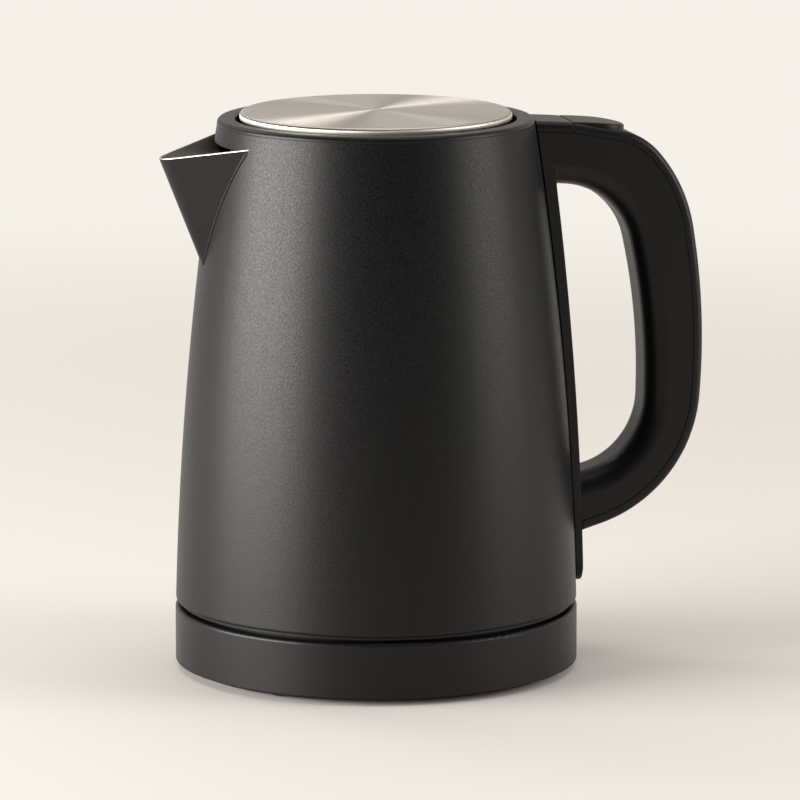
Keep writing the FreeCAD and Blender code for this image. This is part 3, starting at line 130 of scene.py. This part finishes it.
def black_powder_coat(name, inside_of):
    """Steel sheet, sprayed with black polyester powder and baked outside, bare inside.

    The cured powder leaves a fine grain that breaks the highlight into specks, on a slow
    orange peel. Inside, the drawn sheet shows its bright metal. inside_of is a point on the
    line that the bare faces look towards.
    """
    material, tree, surface, place = start(name, Specular_IOR_Level=POLYMER_SHINE)
    spot, normal = place.outputs["Object"], place.outputs["Normal"]
    grain = add(tree, "ShaderNodeTexNoise",
                {"Vector": spot, "Scale": 1.0 / PAINT_GRAIN, "Detail": 2.0})
    flow = add(tree, "ShaderNodeTexNoise",
               {"Vector": spot, "Scale": 1.0 / PAINT_FLOW, "Detail": 1.0})
    paint = add(tree, "ShaderNodeMix",
                {SHARE: grain.outputs["Fac"], COLOUR_A: srgb("060607"), COLOUR_B: srgb("111112")},
                data_type="RGBA")
    gloss = add(tree, "ShaderNodeMapRange",
                {"Value": grain.outputs["Fac"], "From Min": NOISE_LOW, "From Max": NOISE_HIGH,
                 "To Min": 0.34, "To Max": 0.5})
    away = add(tree, "ShaderNodeVectorMath", {0: spot, 1: inside_of}, operation="SUBTRACT")
    level = add(tree, "ShaderNodeVectorMath", {0: away.outputs[0], 1: LEVEL}, operation="MULTIPLY")
    facing = add(tree, "ShaderNodeVectorMath", {0: level.outputs[0], 1: normal},
                 operation="DOT_PRODUCT")
    inside = add(tree, "ShaderNodeMath", {0: facing.outputs["Value"], 1: INSIDE_FACING},
                 operation="LESS_THAN")
    upright = add(tree, "ShaderNodeSeparateXYZ", {"Vector": normal})
    rim = add(tree, "ShaderNodeMath", {0: upright.outputs["Z"], 1: RIM_FACING},
              operation="GREATER_THAN")
    bare = add(tree, "ShaderNodeMath", {0: inside.outputs[0], 1: rim.outputs[0]},
               operation="MAXIMUM")
    colour = add(tree, "ShaderNodeMix",
                 {SHARE: bare.outputs[0], COLOUR_A: paint.outputs[COLOUR_OUT],
                  COLOUR_B: srgb(BRIGHT_STEEL)}, data_type="RGBA")
    rough = add(tree, "ShaderNodeMix",
                {SHARE: bare.outputs[0], NUMBER_A: gloss.outputs[0], NUMBER_B: BARE_ROUGHNESS})
    small = add(tree, "ShaderNodeBump",
                {"Height": grain.outputs["Fac"], "Strength": 0.32, "Distance": 0.13 * MM})
    large = add(tree, "ShaderNodeBump",
                {"Height": flow.outputs["Fac"], "Strength": 0.1, "Distance": 0.2 * MM,
                 "Normal": small.outputs["Normal"]})
    link(tree, surface, {"Base Color": colour.outputs[COLOUR_OUT],
                         "Roughness": rough.outputs[NUMBER_OUT],
                         "Metallic": bare.outputs[0], "Normal": large.outputs["Normal"]})
    return material


def moulded(name, dark, light, smooth, matt, grain_size=ABS_GRAIN):
    """A plastic or rubber moulding: the tool's fine spark texture softens its shine.

    Its edges are eased in the shading, as a mould's are.
    """
    material, tree, surface, place = start(name, Specular_IOR_Level=POLYMER_SHINE)
    spot = place.outputs["Object"]
    grain = add(tree, "ShaderNodeTexNoise",
                {"Vector": spot, "Scale": 1.0 / grain_size, "Detail": 2.0})
    cloud = add(tree, "ShaderNodeTexNoise",
                {"Vector": spot, "Scale": 1.0 / MOULD_CLOUD, "Detail": 2.0})
    colour = add(tree, "ShaderNodeMix",
                 {SHARE: cloud.outputs["Fac"], COLOUR_A: srgb(dark), COLOUR_B: srgb(light)},
                 data_type="RGBA")
    gloss = add(tree, "ShaderNodeMapRange",
                {"Value": grain.outputs["Fac"], "From Min": NOISE_LOW, "From Max": NOISE_HIGH,
                 "To Min": smooth, "To Max": matt})
    edge = add(tree, "ShaderNodeBevel", {"Radius": MOULD_EDGE}, samples=6)
    bump = add(tree, "ShaderNodeBump",
               {"Height": grain.outputs["Fac"], "Strength": 0.25, "Distance": 0.03 * MM,
                "Normal": edge.outputs["Normal"]})
    link(tree, surface, {"Base Color": colour.outputs[COLOUR_OUT], "Roughness": gloss.outputs[0],
                         "Normal": bump.outputs["Normal"]})
    return material


def worked_metal(name, dark, light, smooth, matt, stretch):
    """Bare metal with the fine scratches that drawing, stamping or turning leaves on it.

    stretch is the scratches' size along x, y and z.
    """
    material, tree, surface, place = start(name, Metallic=1.0)
    turned = add(tree, "ShaderNodeMapping",
                 {"Vector": place.outputs["Object"], "Scale": [1.0 / s for s in stretch]})
    scratch = add(tree, "ShaderNodeTexNoise",
                  {"Vector": turned.outputs[0], "Scale": 1.0, "Detail": 3.0})
    colour = add(tree, "ShaderNodeMix",
                 {SHARE: scratch.outputs["Fac"], COLOUR_A: srgb(dark), COLOUR_B: srgb(light)},
                 data_type="RGBA")
    gloss = add(tree, "ShaderNodeMapRange",
                {"Value": scratch.outputs["Fac"], "From Min": NOISE_LOW, "From Max": NOISE_HIGH,
                 "To Min": smooth, "To Max": matt})
    bump = add(tree, "ShaderNodeBump",
               {"Height": scratch.outputs["Fac"], "Strength": 0.15, "Distance": 0.02 * MM})
    link(tree, surface, {"Base Color": colour.outputs[COLOUR_OUT], "Roughness": gloss.outputs[0],
                         "Normal": bump.outputs["Normal"]})
    return material


def spun_steel(name):
    """Stainless steel spun under an abrasive pad: rings that fan the light out in a bow tie.

    The real lines are about a tenth of a millimetre, drawn coarser here so that they show. Its
    rolled edge is buffed the other way, which draws the light out into a thin bright line.
    """
    material, tree, surface, place = start(name, Metallic=1.0, Anisotropic=0.9,
                                           Anisotropic_Rotation=0.25)
    level = add(tree, "ShaderNodeVectorMath", {0: place.outputs["Object"], 1: LEVEL},
                operation="MULTIPLY")
    radius = add(tree, "ShaderNodeVectorMath", {0: level.outputs[0]}, operation="LENGTH")
    line = add(tree, "ShaderNodeTexNoise",
               {"W": radius.outputs["Value"], "Scale": 1.0 / SPIN_LINE, "Detail": 3.0},
               noise_dimensions="1D")
    colour = add(tree, "ShaderNodeMix",
                 {SHARE: line.outputs["Fac"], COLOUR_A: srgb("B8B3AC"), COLOUR_B: srgb("D2CDC6")},
                 data_type="RGBA")
    gloss = add(tree, "ShaderNodeMapRange",
                {"Value": line.outputs["Fac"], "From Min": NOISE_LOW, "From Max": NOISE_HIGH,
                 "To Min": 0.36, "To Max": 0.48})
    upright = add(tree, "ShaderNodeSeparateXYZ", {"Vector": place.outputs["Normal"]})
    buffed = add(tree, "ShaderNodeMapRange",
                 {"Value": upright.outputs["Z"], "From Min": BUFF_FROM, "From Max": BUFF_TO,
                  "To Min": 0.85, "To Max": 1.0})
    rough = add(tree, "ShaderNodeMath", {0: gloss.outputs[0], 1: buffed.outputs[0]},
                operation="MULTIPLY")
    bump = add(tree, "ShaderNodeBump",
               {"Height": line.outputs["Fac"], "Strength": 0.12, "Distance": 0.02 * MM})
    around = add(tree, "ShaderNodeTangent", {}, direction_type="RADIAL", axis="Z")
    facing = add(tree, "ShaderNodeNewGeometry", {})
    outward = add(tree, "ShaderNodeVectorMath",
                  {0: facing.outputs["Normal"], 1: around.outputs[0]}, operation="CROSS_PRODUCT")
    flat = add(tree, "ShaderNodeMath", {0: upright.outputs["Z"], 1: LID_FACING},
               operation="GREATER_THAN")
    way = add(tree, "ShaderNodeMix",
              {SHARE: flat.outputs[0], WAY_A: outward.outputs[0], WAY_B: around.outputs[0]},
              data_type="VECTOR")
    link(tree, surface, {"Base Color": colour.outputs[COLOUR_OUT], "Roughness": rough.outputs[0],
                         "Normal": bump.outputs["Normal"], "Tangent": way.outputs[WAY_OUT]})
    return material


BODY_AXIS = (0.0, 0.0, 0.0)
SPOUT_THROAT = (-62.0 * MM, 0.0, 0.0)

finishes = {
    black_powder_coat("powder_coated_steel_body", BODY_AXIS): ["body_shell"],
    black_powder_coat("powder_coated_steel_spout", SPOUT_THROAT): ["spout"],
    # satin ABS: smooth, with a soft sheen that runs along the edges
    moulded("satin_black_abs", "09090A", "0F0F10", 0.34, 0.44): [
        "base_housing", "base_bottom_cover", "base_connector", "top_collar", "lid_moulding",
        "kettle_connector", "bottom_cover", "spine_plate", "handle_shell", "hinge_cover",
        "handle_cover", "release_button", "latch_slider", "power_switch"],
    spun_steel("spun_stainless_steel"): ["lid_plate"],
    # stainless sheet, drawn in a press: bright, with fine upright lines
    worked_metal("drawn_stainless_steel", "A9A6A1", BRIGHT_STEEL, 0.22, 0.36,
                 (BRUSH_WIDTH, BRUSH_WIDTH, BRUSH_LENGTH)): [
        "spout_filter", "heater_plate", "lid_liner", "steam_tube", "latch_tongue"],
    # steel wire and turned screws: plain grey, with fine level lines
    worked_metal("turned_steel_wire_and_screws", "9C9C9C", "C4C4C4", 0.25, 0.4,
                 (BRUSH_LENGTH, BRUSH_LENGTH, BRUSH_WIDTH)): [
        "base_screws", "lid_hinge_pins", "lid_spring", "control_screws", "handle_screws",
        "button_pin", "button_spring", "latch_spring", "switch_pin", "trip_lever_pin",
        "lid_screws"],
    # cast aluminium: pale and dull, with an even grain
    worked_metal("cast_aluminium", "A5A6A8", "C3C4C6", 0.4, 0.55,
                 (CAST_GRAIN, CAST_GRAIN, CAST_GRAIN)): ["diffuser_plate", "heating_element"],
    # brass strip, stamped: warm yellow, with the fine lines of its rolling
    worked_metal("stamped_brass", "B8924C", "D8B56E", 0.24, 0.36,
                 (BRUSH_WIDTH, BRUSH_LENGTH, BRUSH_WIDTH)): [
        "base_contacts", "bimetal_discs", "connector_pins"],
    # silicone rubber: matt, nearly black, with no clear highlight
    moulded("moulded_silicone_rubber", "131313", "1C1C1C", 0.62, 0.78, RUBBER_GRAIN): [
        "base_feet", "cord_gland", "plate_seal", "lid_seal"],
    # unfilled nylon: off-white, faintly cloudy
    moulded("moulded_nylon", "CFC8BA", "DED8CC", 0.42, 0.52): ["control_unit", "trip_lever"],
}
for finish, names in finishes.items():
    for name in names:
        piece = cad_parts[name]
        if not piece.material_slots:
            piece.data.materials.append(finish)
        for holder in piece.material_slots:
            holder.material = finish


# Trim, with the sizes of the body, spout and handle that carry it, in mm

BODY_FOOT, BODY_HEAD = (79.8, 27.0), (62.5, 217.0)
BODY_BOW = 1500.0
SPOUT_TIP, SPOUT_ROOT_Z = (86.7, 205.2), 162.7
SPOUT_CORNER_HALF, SPOUT_CORNER_Z = 28.1, 211.3
NOSE_RADIUS, NOSE_ROOT_RADIUS, SPOUT_TAIL = 8.0, 3.0, 8.0
SPOUT_WALL = 1.0
SPINE_FACE, SPINE_GAP = 70.2, 0.55
ROOF_Z, ROOF_FALL, ROOF_RUN = 191.3, 0.09, 10.0
HANDLE_HALF, GRIP_EDGE, ROOT_FILLET = 13.5, 8.5, 2.5

BEAD_WIRE = 0.55 * MM
BEAD_DROP, BEAD_STEP, BEAD_COUNT = 1.2, 5.0, 10
RIM_SHARE, RIM_STEPS, NOSE_STEPS = 0.8, 8, 6
WEB_STEPS, FILLET_STEPS = 24, 6
WEB_SIDE_GAP, WEB_FACE_GAP, WEB_FOOT, WEB_SINK = 0.05, 0.02, 0.5, 0.6
WEB_CREASE = math.radians(40.0)
COIL_POINTS = 16
X, Y, Z = 0, 1, 2
SEAM_WIRE = 0.22 * MM
WELD = 0.002 * MM
# A seam's edge joins a face that looks sideways to one that doesn't
SIDEWAYS, NOT_SIDEWAYS = 0.999, 0.1


def body_radius(height):
    """Outside radius of the body at a height, on the arc between its foot and its head, in mm."""
    run, rise = BODY_HEAD[0] - BODY_FOOT[0], BODY_HEAD[1] - BODY_FOOT[1]
    chord = math.hypot(run, rise)
    back = math.sqrt(BODY_BOW ** 2 - chord ** 2 / 4.0)
    middle_r = (BODY_HEAD[0] + BODY_FOOT[0]) / 2.0 - rise / chord * back
    middle_z = (BODY_HEAD[1] + BODY_FOOT[1]) / 2.0 + run / chord * back
    return middle_r + math.sqrt(BODY_BOW ** 2 - (height - middle_z) ** 2)


SPOUT_CORNER_X = math.sqrt(body_radius(SPOUT_CORNER_Z) ** 2 - SPOUT_CORNER_HALF ** 2)


def spout_section(height):
    """The spout's V at a height: its apex, its flanks' slope and its nose's radius, in mm."""
    lean = (SPOUT_TIP[0] - body_radius(SPOUT_ROOT_Z)) / (SPOUT_TIP[1] - SPOUT_ROOT_Z)
    run = SPOUT_TIP[0] + lean * (SPOUT_CORNER_Z - SPOUT_TIP[1]) - NOSE_RADIUS - SPOUT_CORNER_X
    steep = SPOUT_CORNER_HALF / run
    lead = NOSE_RADIUS / math.sqrt(run ** 2 + SPOUT_CORNER_HALF ** 2 - NOSE_RADIUS ** 2)
    slope = (steep - lead) / (1.0 + steep * lead)
    low = SPOUT_ROOT_Z - SPOUT_TAIL
    grown = (height - low) / (SPOUT_CORNER_Z - low)
    nose = NOSE_ROOT_RADIUS + (NOSE_RADIUS - NOSE_ROOT_RADIUS) * grown
    tip = SPOUT_TIP[0] - lean * (SPOUT_TIP[1] - height)
    return tip + nose * (math.sqrt(1.0 + 1.0 / slope ** 2) - 1.0), slope, nose


def spout_joint(height):
    """Where a flank of the spout meets the body at a height: how far out and across, in mm."""
    apex, slope, _ = spout_section(height)
    spread = 1.0 + slope ** 2
    inner = slope ** 4 * apex ** 2 - spread * (slope ** 2 * apex ** 2 - body_radius(height) ** 2)
    out = (slope ** 2 * apex + math.sqrt(max(inner, 0.0))) / spread
    return out, (apex - out) * slope


def dress(piece, finish):
    """Gives a new piece its finish and slot, and lets it move with the kettle."""
    piece.data.materials.append(finish)
    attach(piece, "kettle")


def round_wire(name, route, radius, kind):
    """A round wire along a route in mm."""
    curve = bpy.data.curves.new(name, "CURVE")
    curve.dimensions = "3D"
    curve.bevel_depth = radius
    curve.bevel_resolution = 3
    curve.use_fill_caps = True
    line = curve.splines.new(kind)
    line.points.add(len(route) - 1)
    for point, place in zip(line.points, route):
        point.co = (*[c * MM for c in place], 1.0)
    if kind == "NURBS":
        line.order_u = 3
        line.use_endpoint_u = True
    return stand(name, curve)


def mirrored(side):
    """The same route on the other side of the kettle, run backwards."""
    return [(x, -y, z) for x, y, z in reversed(side)]


def spout_bead():
    """The narrow soldered bead where the spout's flanks are set on the body, under the paint."""
    heights = [SPOUT_CORNER_Z - BEAD_DROP - step * BEAD_STEP for step in range(BEAD_COUNT)]
    side = [(-out, across, height) for height in heights for out, across in [spout_joint(height)]]
    root = (-body_radius(SPOUT_ROOT_Z), 0.0, SPOUT_ROOT_Z)
    bead = round_wire("spout_bead", side + [root] + mirrored(side), BEAD_WIRE, "NURBS")
    dress(bead, bpy.data.materials["powder_coated_steel_spout"])


def spout_rim():
    """The rolled bare edge of the spout, on the middle of its wall from corner to corner."""
    fall = (SPOUT_CORNER_Z - SPOUT_TIP[1]) / (SPOUT_TIP[0] - SPOUT_CORNER_X)
    half_wall = SPOUT_WALL / 2.0
    side = []
    for step in range(RIM_STEPS + 1):
        out = SPOUT_CORNER_X + (SPOUT_TIP[0] - NOSE_RADIUS - SPOUT_CORNER_X) * step / RIM_STEPS
        height = SPOUT_CORNER_Z - fall * (out - SPOUT_CORNER_X)
        apex, slope, _ = spout_section(height)
        across = (apex - out) * slope - half_wall * math.sqrt(1.0 + slope ** 2)
        side.append((-out, across, height))
    _, slope, nose = spout_section(SPOUT_TIP[1])
    middle = SPOUT_TIP[0] - nose
    turn = math.atan2(1.0, slope)
    for step in range(1, NOSE_STEPS + 1):
        angle = turn * (1.0 - step / NOSE_STEPS)
        out = middle + (nose - half_wall) * math.cos(angle)
        side.append((-out, (nose - half_wall) * math.sin(angle),
                     SPOUT_CORNER_Z - fall * (out - SPOUT_CORNER_X)))
    rim = round_wire("spout_rim", side + mirrored(side[:-1]), RIM_SHARE * half_wall * MM, "POLY")
    dress(rim, bpy.data.materials["drawn_stainless_steel"])


def handle_root():
    """The web that closes the corner between the handle's rounded underside and the spine plate."""
    face = SPINE_FACE - WEB_FACE_GAP
    profiles = []
    for step in range(WEB_STEPS + 1):
        y = (HANDLE_HALF - WEB_SIDE_GAP) * (2.0 * step / WEB_STEPS - 1.0)
        beside = max(abs(y) - (HANDLE_HALF - GRIP_EDGE), 0.0)
        rounded = GRIP_EDGE - math.sqrt(GRIP_EDGE ** 2 - beside ** 2)
        roof = ROOF_Z + ROOF_FALL * ROOF_RUN + rounded
        foot, top = min(roof - ROOT_FILLET, ROOF_Z - WEB_FOOT), roof + WEB_SINK
        inner = [math.sqrt(body_radius(z) ** 2 - y ** 2) + SPINE_GAP for z in (foot, top)]
        ring = [(inner[0], foot), (face, foot), (face, roof - ROOT_FILLET)]
        for turn in range(1, FILLET_STEPS + 1):
            angle = math.radians(90.0 * turn / FILLET_STEPS)
            ring.append((SPINE_FACE + ROOT_FILLET * (1.0 - math.cos(angle)),
                         roof - ROOT_FILLET * (1.0 - math.sin(angle))))
        ring += [(SPINE_FACE + ROOT_FILLET, top), (inner[1], top)]
        profiles.append([(x, y, z) for x, z in ring])
    count = len(profiles[0])
    faces = []
    for here in range(0, WEB_STEPS * count, count):
        for i in range(count):
            beyond = (i + 1) % count
            faces.append((here + i, here + beyond, here + count + beyond, here + count + i))
    last = WEB_STEPS * count
    faces += [tuple(range(count)), tuple(reversed(range(last, last + count)))]
    mesh = bpy.data.meshes.new("handle_root_web")
    mesh.from_pydata([[c * MM for c in place] for ring in profiles for place in ring], [], faces)
    shape = bmesh.new()
    shape.from_mesh(mesh)
    bmesh.ops.recalc_face_normals(shape, faces=shape.faces)
    shape.to_mesh(mesh)
    shape.free()
    mesh.shade_smooth()
    mesh.set_sharp_from_angle(angle=WEB_CREASE)
    web = stand("handle_root_web", mesh)
    dress(web, bpy.data.materials["satin_black_abs"])


def coil_spring(name, node, axis, wire, turns):
    """A wound spring in the sleeve-shaped room that its CAD node keeps for it.

    wire is the radius of its wire in mm.
    """
    low, high = [[c / MM for c in corner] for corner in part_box(node)]
    middle = [(a + b) / 2.0 for a, b in zip(low, high)]
    across = [i for i in (X, Y, Z) if i != axis]
    radius = (high[across[0]] - low[across[0]]) / 2.0 - wire
    length = high[axis] - low[axis] - 2.0 * wire
    steps = turns * COIL_POINTS
    route = []
    for step in range(steps + 1):
        angle = 2.0 * math.pi * step / COIL_POINTS
        place = list(middle)
        place[axis] = low[axis] + wire + length * step / steps
        place[across[0]] += radius * math.cos(angle)
        place[across[1]] += radius * math.sin(angle)
        route.append(place)
    path = round_wire(name + "_path", route, wire * MM, "POLY")
    path.data.bevel_resolution = 1
    bpy.context.view_layer.update()
    shown = path.evaluated_get(bpy.context.evaluated_depsgraph_get())
    coil = stand(name, bpy.data.meshes.new_from_object(shown))
    bpy.data.objects.remove(path)
    coil.data.shade_smooth()
    dress(coil, bpy.data.materials["turned_steel_wire_and_screws"])
    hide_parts(node)
    return coil


def springs():
    """The springs of the lid, the button and the latch. The last two are pressed together."""
    coil_spring("lid_coil", "lid_spring", Y, wire=0.3, turns=6)
    under_button = coil_spring("button_coil", "button_spring", Z, wire=0.35, turns=5)
    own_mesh(under_button)
    behind_latch = coil_spring("latch_coil", "latch_spring", X, wire=0.3, turns=4)
    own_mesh(behind_latch)


def painted_handle_seam_shade():
    """Painted shade: dark hairlines in the seams where the handle's covers close on its shell."""
    # painted shade: near-black and matt with no sheen, standing for the shade in the gap between
    # cover and shell
    seam_shade = moulded("painted_seam_shade", "030303", "050505", 0.8, 0.9)
    for name in ("handle_cover", "hinge_cover"):
        shape = bmesh.new()
        shape.from_mesh(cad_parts[name].data)
        bmesh.ops.remove_doubles(shape, verts=shape.verts, dist=WELD)
        ends = []
        for edge in shape.edges:
            if len(edge.link_faces) == 2:
                low, high = sorted(abs(face.normal.y) for face in edge.link_faces)
                if high > SIDEWAYS and low < NOT_SIDEWAYS:
                    ends.append([tuple(vert.co) for vert in edge.verts])
        shape.free()
        mesh = bpy.data.meshes.new(name + "_seam")
        mesh.from_pydata([place for pair in ends for place in pair],
                         [(2 * i, 2 * i + 1) for i in range(len(ends))], [])
        wire = bmesh.new()
        wire.from_mesh(mesh)
        bmesh.ops.remove_doubles(wire, verts=wire.verts, dist=WELD)
        wire.to_mesh(mesh)
        wire.free()
        seam = stand(name + "_seam", mesh)
        bpy.ops.object.select_all(action="DESELECT")
        seam.select_set(True)
        bpy.context.view_layer.objects.active = seam
        bpy.ops.object.convert(target="CURVE")
        seam = bpy.context.view_layer.objects.active
        seam.data.bevel_depth = SEAM_WIRE
        seam.data.bevel_resolution = 2
        seam.data.use_fill_caps = True
        # the raised wires carry the painted seam shade; they are not grooves
        dress(seam, seam_shade)


spout_bead()
spout_rim()
handle_root()
springs()
painted_handle_seam_shade()


# Studio: a cream floor and soft lamps, in metres

FLOOR_REACH, FLOOR_SIDES = 3.0, 96
FLOOR_CLOUD = 1000.0 / 3.0 * MM
FADE_FROM, FADE_TO = 0.25, 1.3
BEHIND_FROM, BEHIND_TO = 0.1, 1.0
WALL_FROM, WALL_TO = -0.2, 0.7
ROOM_DARK, ROOM_PALE = 0.05, 0.75
CREAM = "F5F0E8"
LAMP_TINT = "FFFCF7"
BACK = (0.225, 0.974, 0.0)
MIDDLE = (0.0, 0.0, 0.12)
LID = (0.0, 0.0, 0.22)


def cream_floor():
    """A matt cream worktop, wide enough to fill the view from any side.

    Further out it fades into the room's cream for the camera, and behind the kettle for
    reflections too.
    """
    mesh = bpy.data.meshes.new("studio_floor")
    shape = bmesh.new()
    bmesh.ops.create_circle(shape, cap_ends=True, radius=FLOOR_REACH, segments=FLOOR_SIDES)
    shape.to_mesh(mesh)
    shape.free()
    floor = stand("studio_floor", mesh)
    material, tree, surface, place = start("matt_cream_laminate", Roughness=0.7,
                                           Specular_IOR_Level=0.2)
    spot = place.outputs["Object"]
    cloud = add(tree, "ShaderNodeTexNoise",
                {"Vector": spot, "Scale": 1.0 / FLOOR_CLOUD, "Detail": 2.0})
    colour = add(tree, "ShaderNodeMix",
                 {SHARE: cloud.outputs["Fac"], COLOUR_A: srgb("ECE8E3"), COLOUR_B: srgb("EFEBE6")},
                 data_type="RGBA")
    away = add(tree, "ShaderNodeVectorMath", {0: spot}, operation="LENGTH")
    far = add(tree, "ShaderNodeMapRange",
              {"Value": away.outputs["Value"], "From Min": FADE_FROM, "From Max": FADE_TO},
              interpolation_type="SMOOTHSTEP")
    behind = add(tree, "ShaderNodeVectorMath", {0: spot, 1: BACK}, operation="DOT_PRODUCT")
    back = add(tree, "ShaderNodeMapRange",
               {"Value": behind.outputs["Value"], "From Min": BEHIND_FROM, "From Max": BEHIND_TO})
    ray = add(tree, "ShaderNodeLightPath", {})
    bounced = add(tree, "ShaderNodeMath",
                  {0: ray.outputs["Is Glossy Ray"], 1: ray.outputs["Is Transmission Ray"]},
                  operation="MAXIMUM")
    bounced_behind = add(tree, "ShaderNodeMath", {0: bounced.outputs[0], 1: back.outputs[0]},
                         operation="MULTIPLY")
    seen = add(tree, "ShaderNodeMath",
               {0: ray.outputs["Is Camera Ray"], 1: bounced_behind.outputs[0]},
               operation="MAXIMUM")
    share = add(tree, "ShaderNodeMath", {0: seen.outputs[0], 1: far.outputs[0]},
                operation="MULTIPLY")
    pale = add(tree, "ShaderNodeEmission", {"Color": srgb(CREAM), "Strength": 1.0})
    both = add(tree, "ShaderNodeMixShader",
               {0: share.outputs[0], 1: surface.outputs[0], 2: pale.outputs[0]})
    link(tree, surface, {"Base Color": colour.outputs[COLOUR_OUT]})
    link(tree, tree.nodes["Material Output"], {"Surface": both.outputs[0]})
    floor.data.materials.append(material)


def softbox(name, place, target, size, watts):
    """A soft rectangular lamp at a place, aimed at a point."""
    lamp = bpy.data.lights.new(name, "AREA")
    lamp.shape = "RECTANGLE"
    lamp.size, lamp.size_y = size
    lamp.energy = watts
    lamp.color = srgb(LAMP_TINT)[:3]
    holder = stand(name, lamp)
    holder.location = place
    holder.rotation_euler = (Vector(target) - Vector(place)).to_track_quat("-Z", "Y").to_euler()
    holder.visible_camera = False


def room():
    """A cream room for the camera. Other rays find it pale behind the kettle and dark in front."""
    world = bpy.data.worlds.new("studio_room")
    bpy.context.scene.world = world
    world.use_nodes = True
    tree = world.node_tree
    place = add(tree, "ShaderNodeTexCoord", {})
    back = add(tree, "ShaderNodeVectorMath", {0: place.outputs["Generated"], 1: BACK},
               operation="DOT_PRODUCT")
    wall = add(tree, "ShaderNodeMapRange",
               {"Value": back.outputs["Value"], "From Min": WALL_FROM, "From Max": WALL_TO,
                "To Min": ROOM_DARK, "To Max": ROOM_PALE}, interpolation_type="SMOOTHSTEP")
    ray = add(tree, "ShaderNodeLightPath", {})
    level = add(tree, "ShaderNodeMath", {0: wall.outputs[0], 1: ray.outputs["Is Camera Ray"]},
                operation="MAXIMUM")
    shade = tree.nodes["Background"]
    shade.inputs["Color"].default_value = srgb(CREAM)
    link(tree, shade, {"Strength": level.outputs[0]})


cream_floor()
room()
softbox("window_left", (-2.0, -0.17, 0.42), MIDDLE, size=(1.94, 0.8), watts=98.0)
softbox("strip_right", (1.2, -0.55, 0.5), MIDDLE, size=(0.75, 0.9), watts=11.0)
softbox("back_left", (-0.45, 0.72, 1.07), LID, size=(0.3, 0.3), watts=1.8)
softbox("ceiling", (0.3, -0.1, 1.9), MIDDLE, size=(1.2, 1.2), watts=8.0)

camera = stand("camera", bpy.data.cameras.new("camera"))
camera.data.sensor_width = 36.0
camera.data.lens = 267.56
camera.location = (-0.52205, -2.2613, 0.5212)
camera.rotation_euler = [math.radians(a) for a in (79.86, 0.0, -13.234)]
bpy.context.scene.camera = camera
bpy.context.scene.view_settings.view_transform = "Standard"
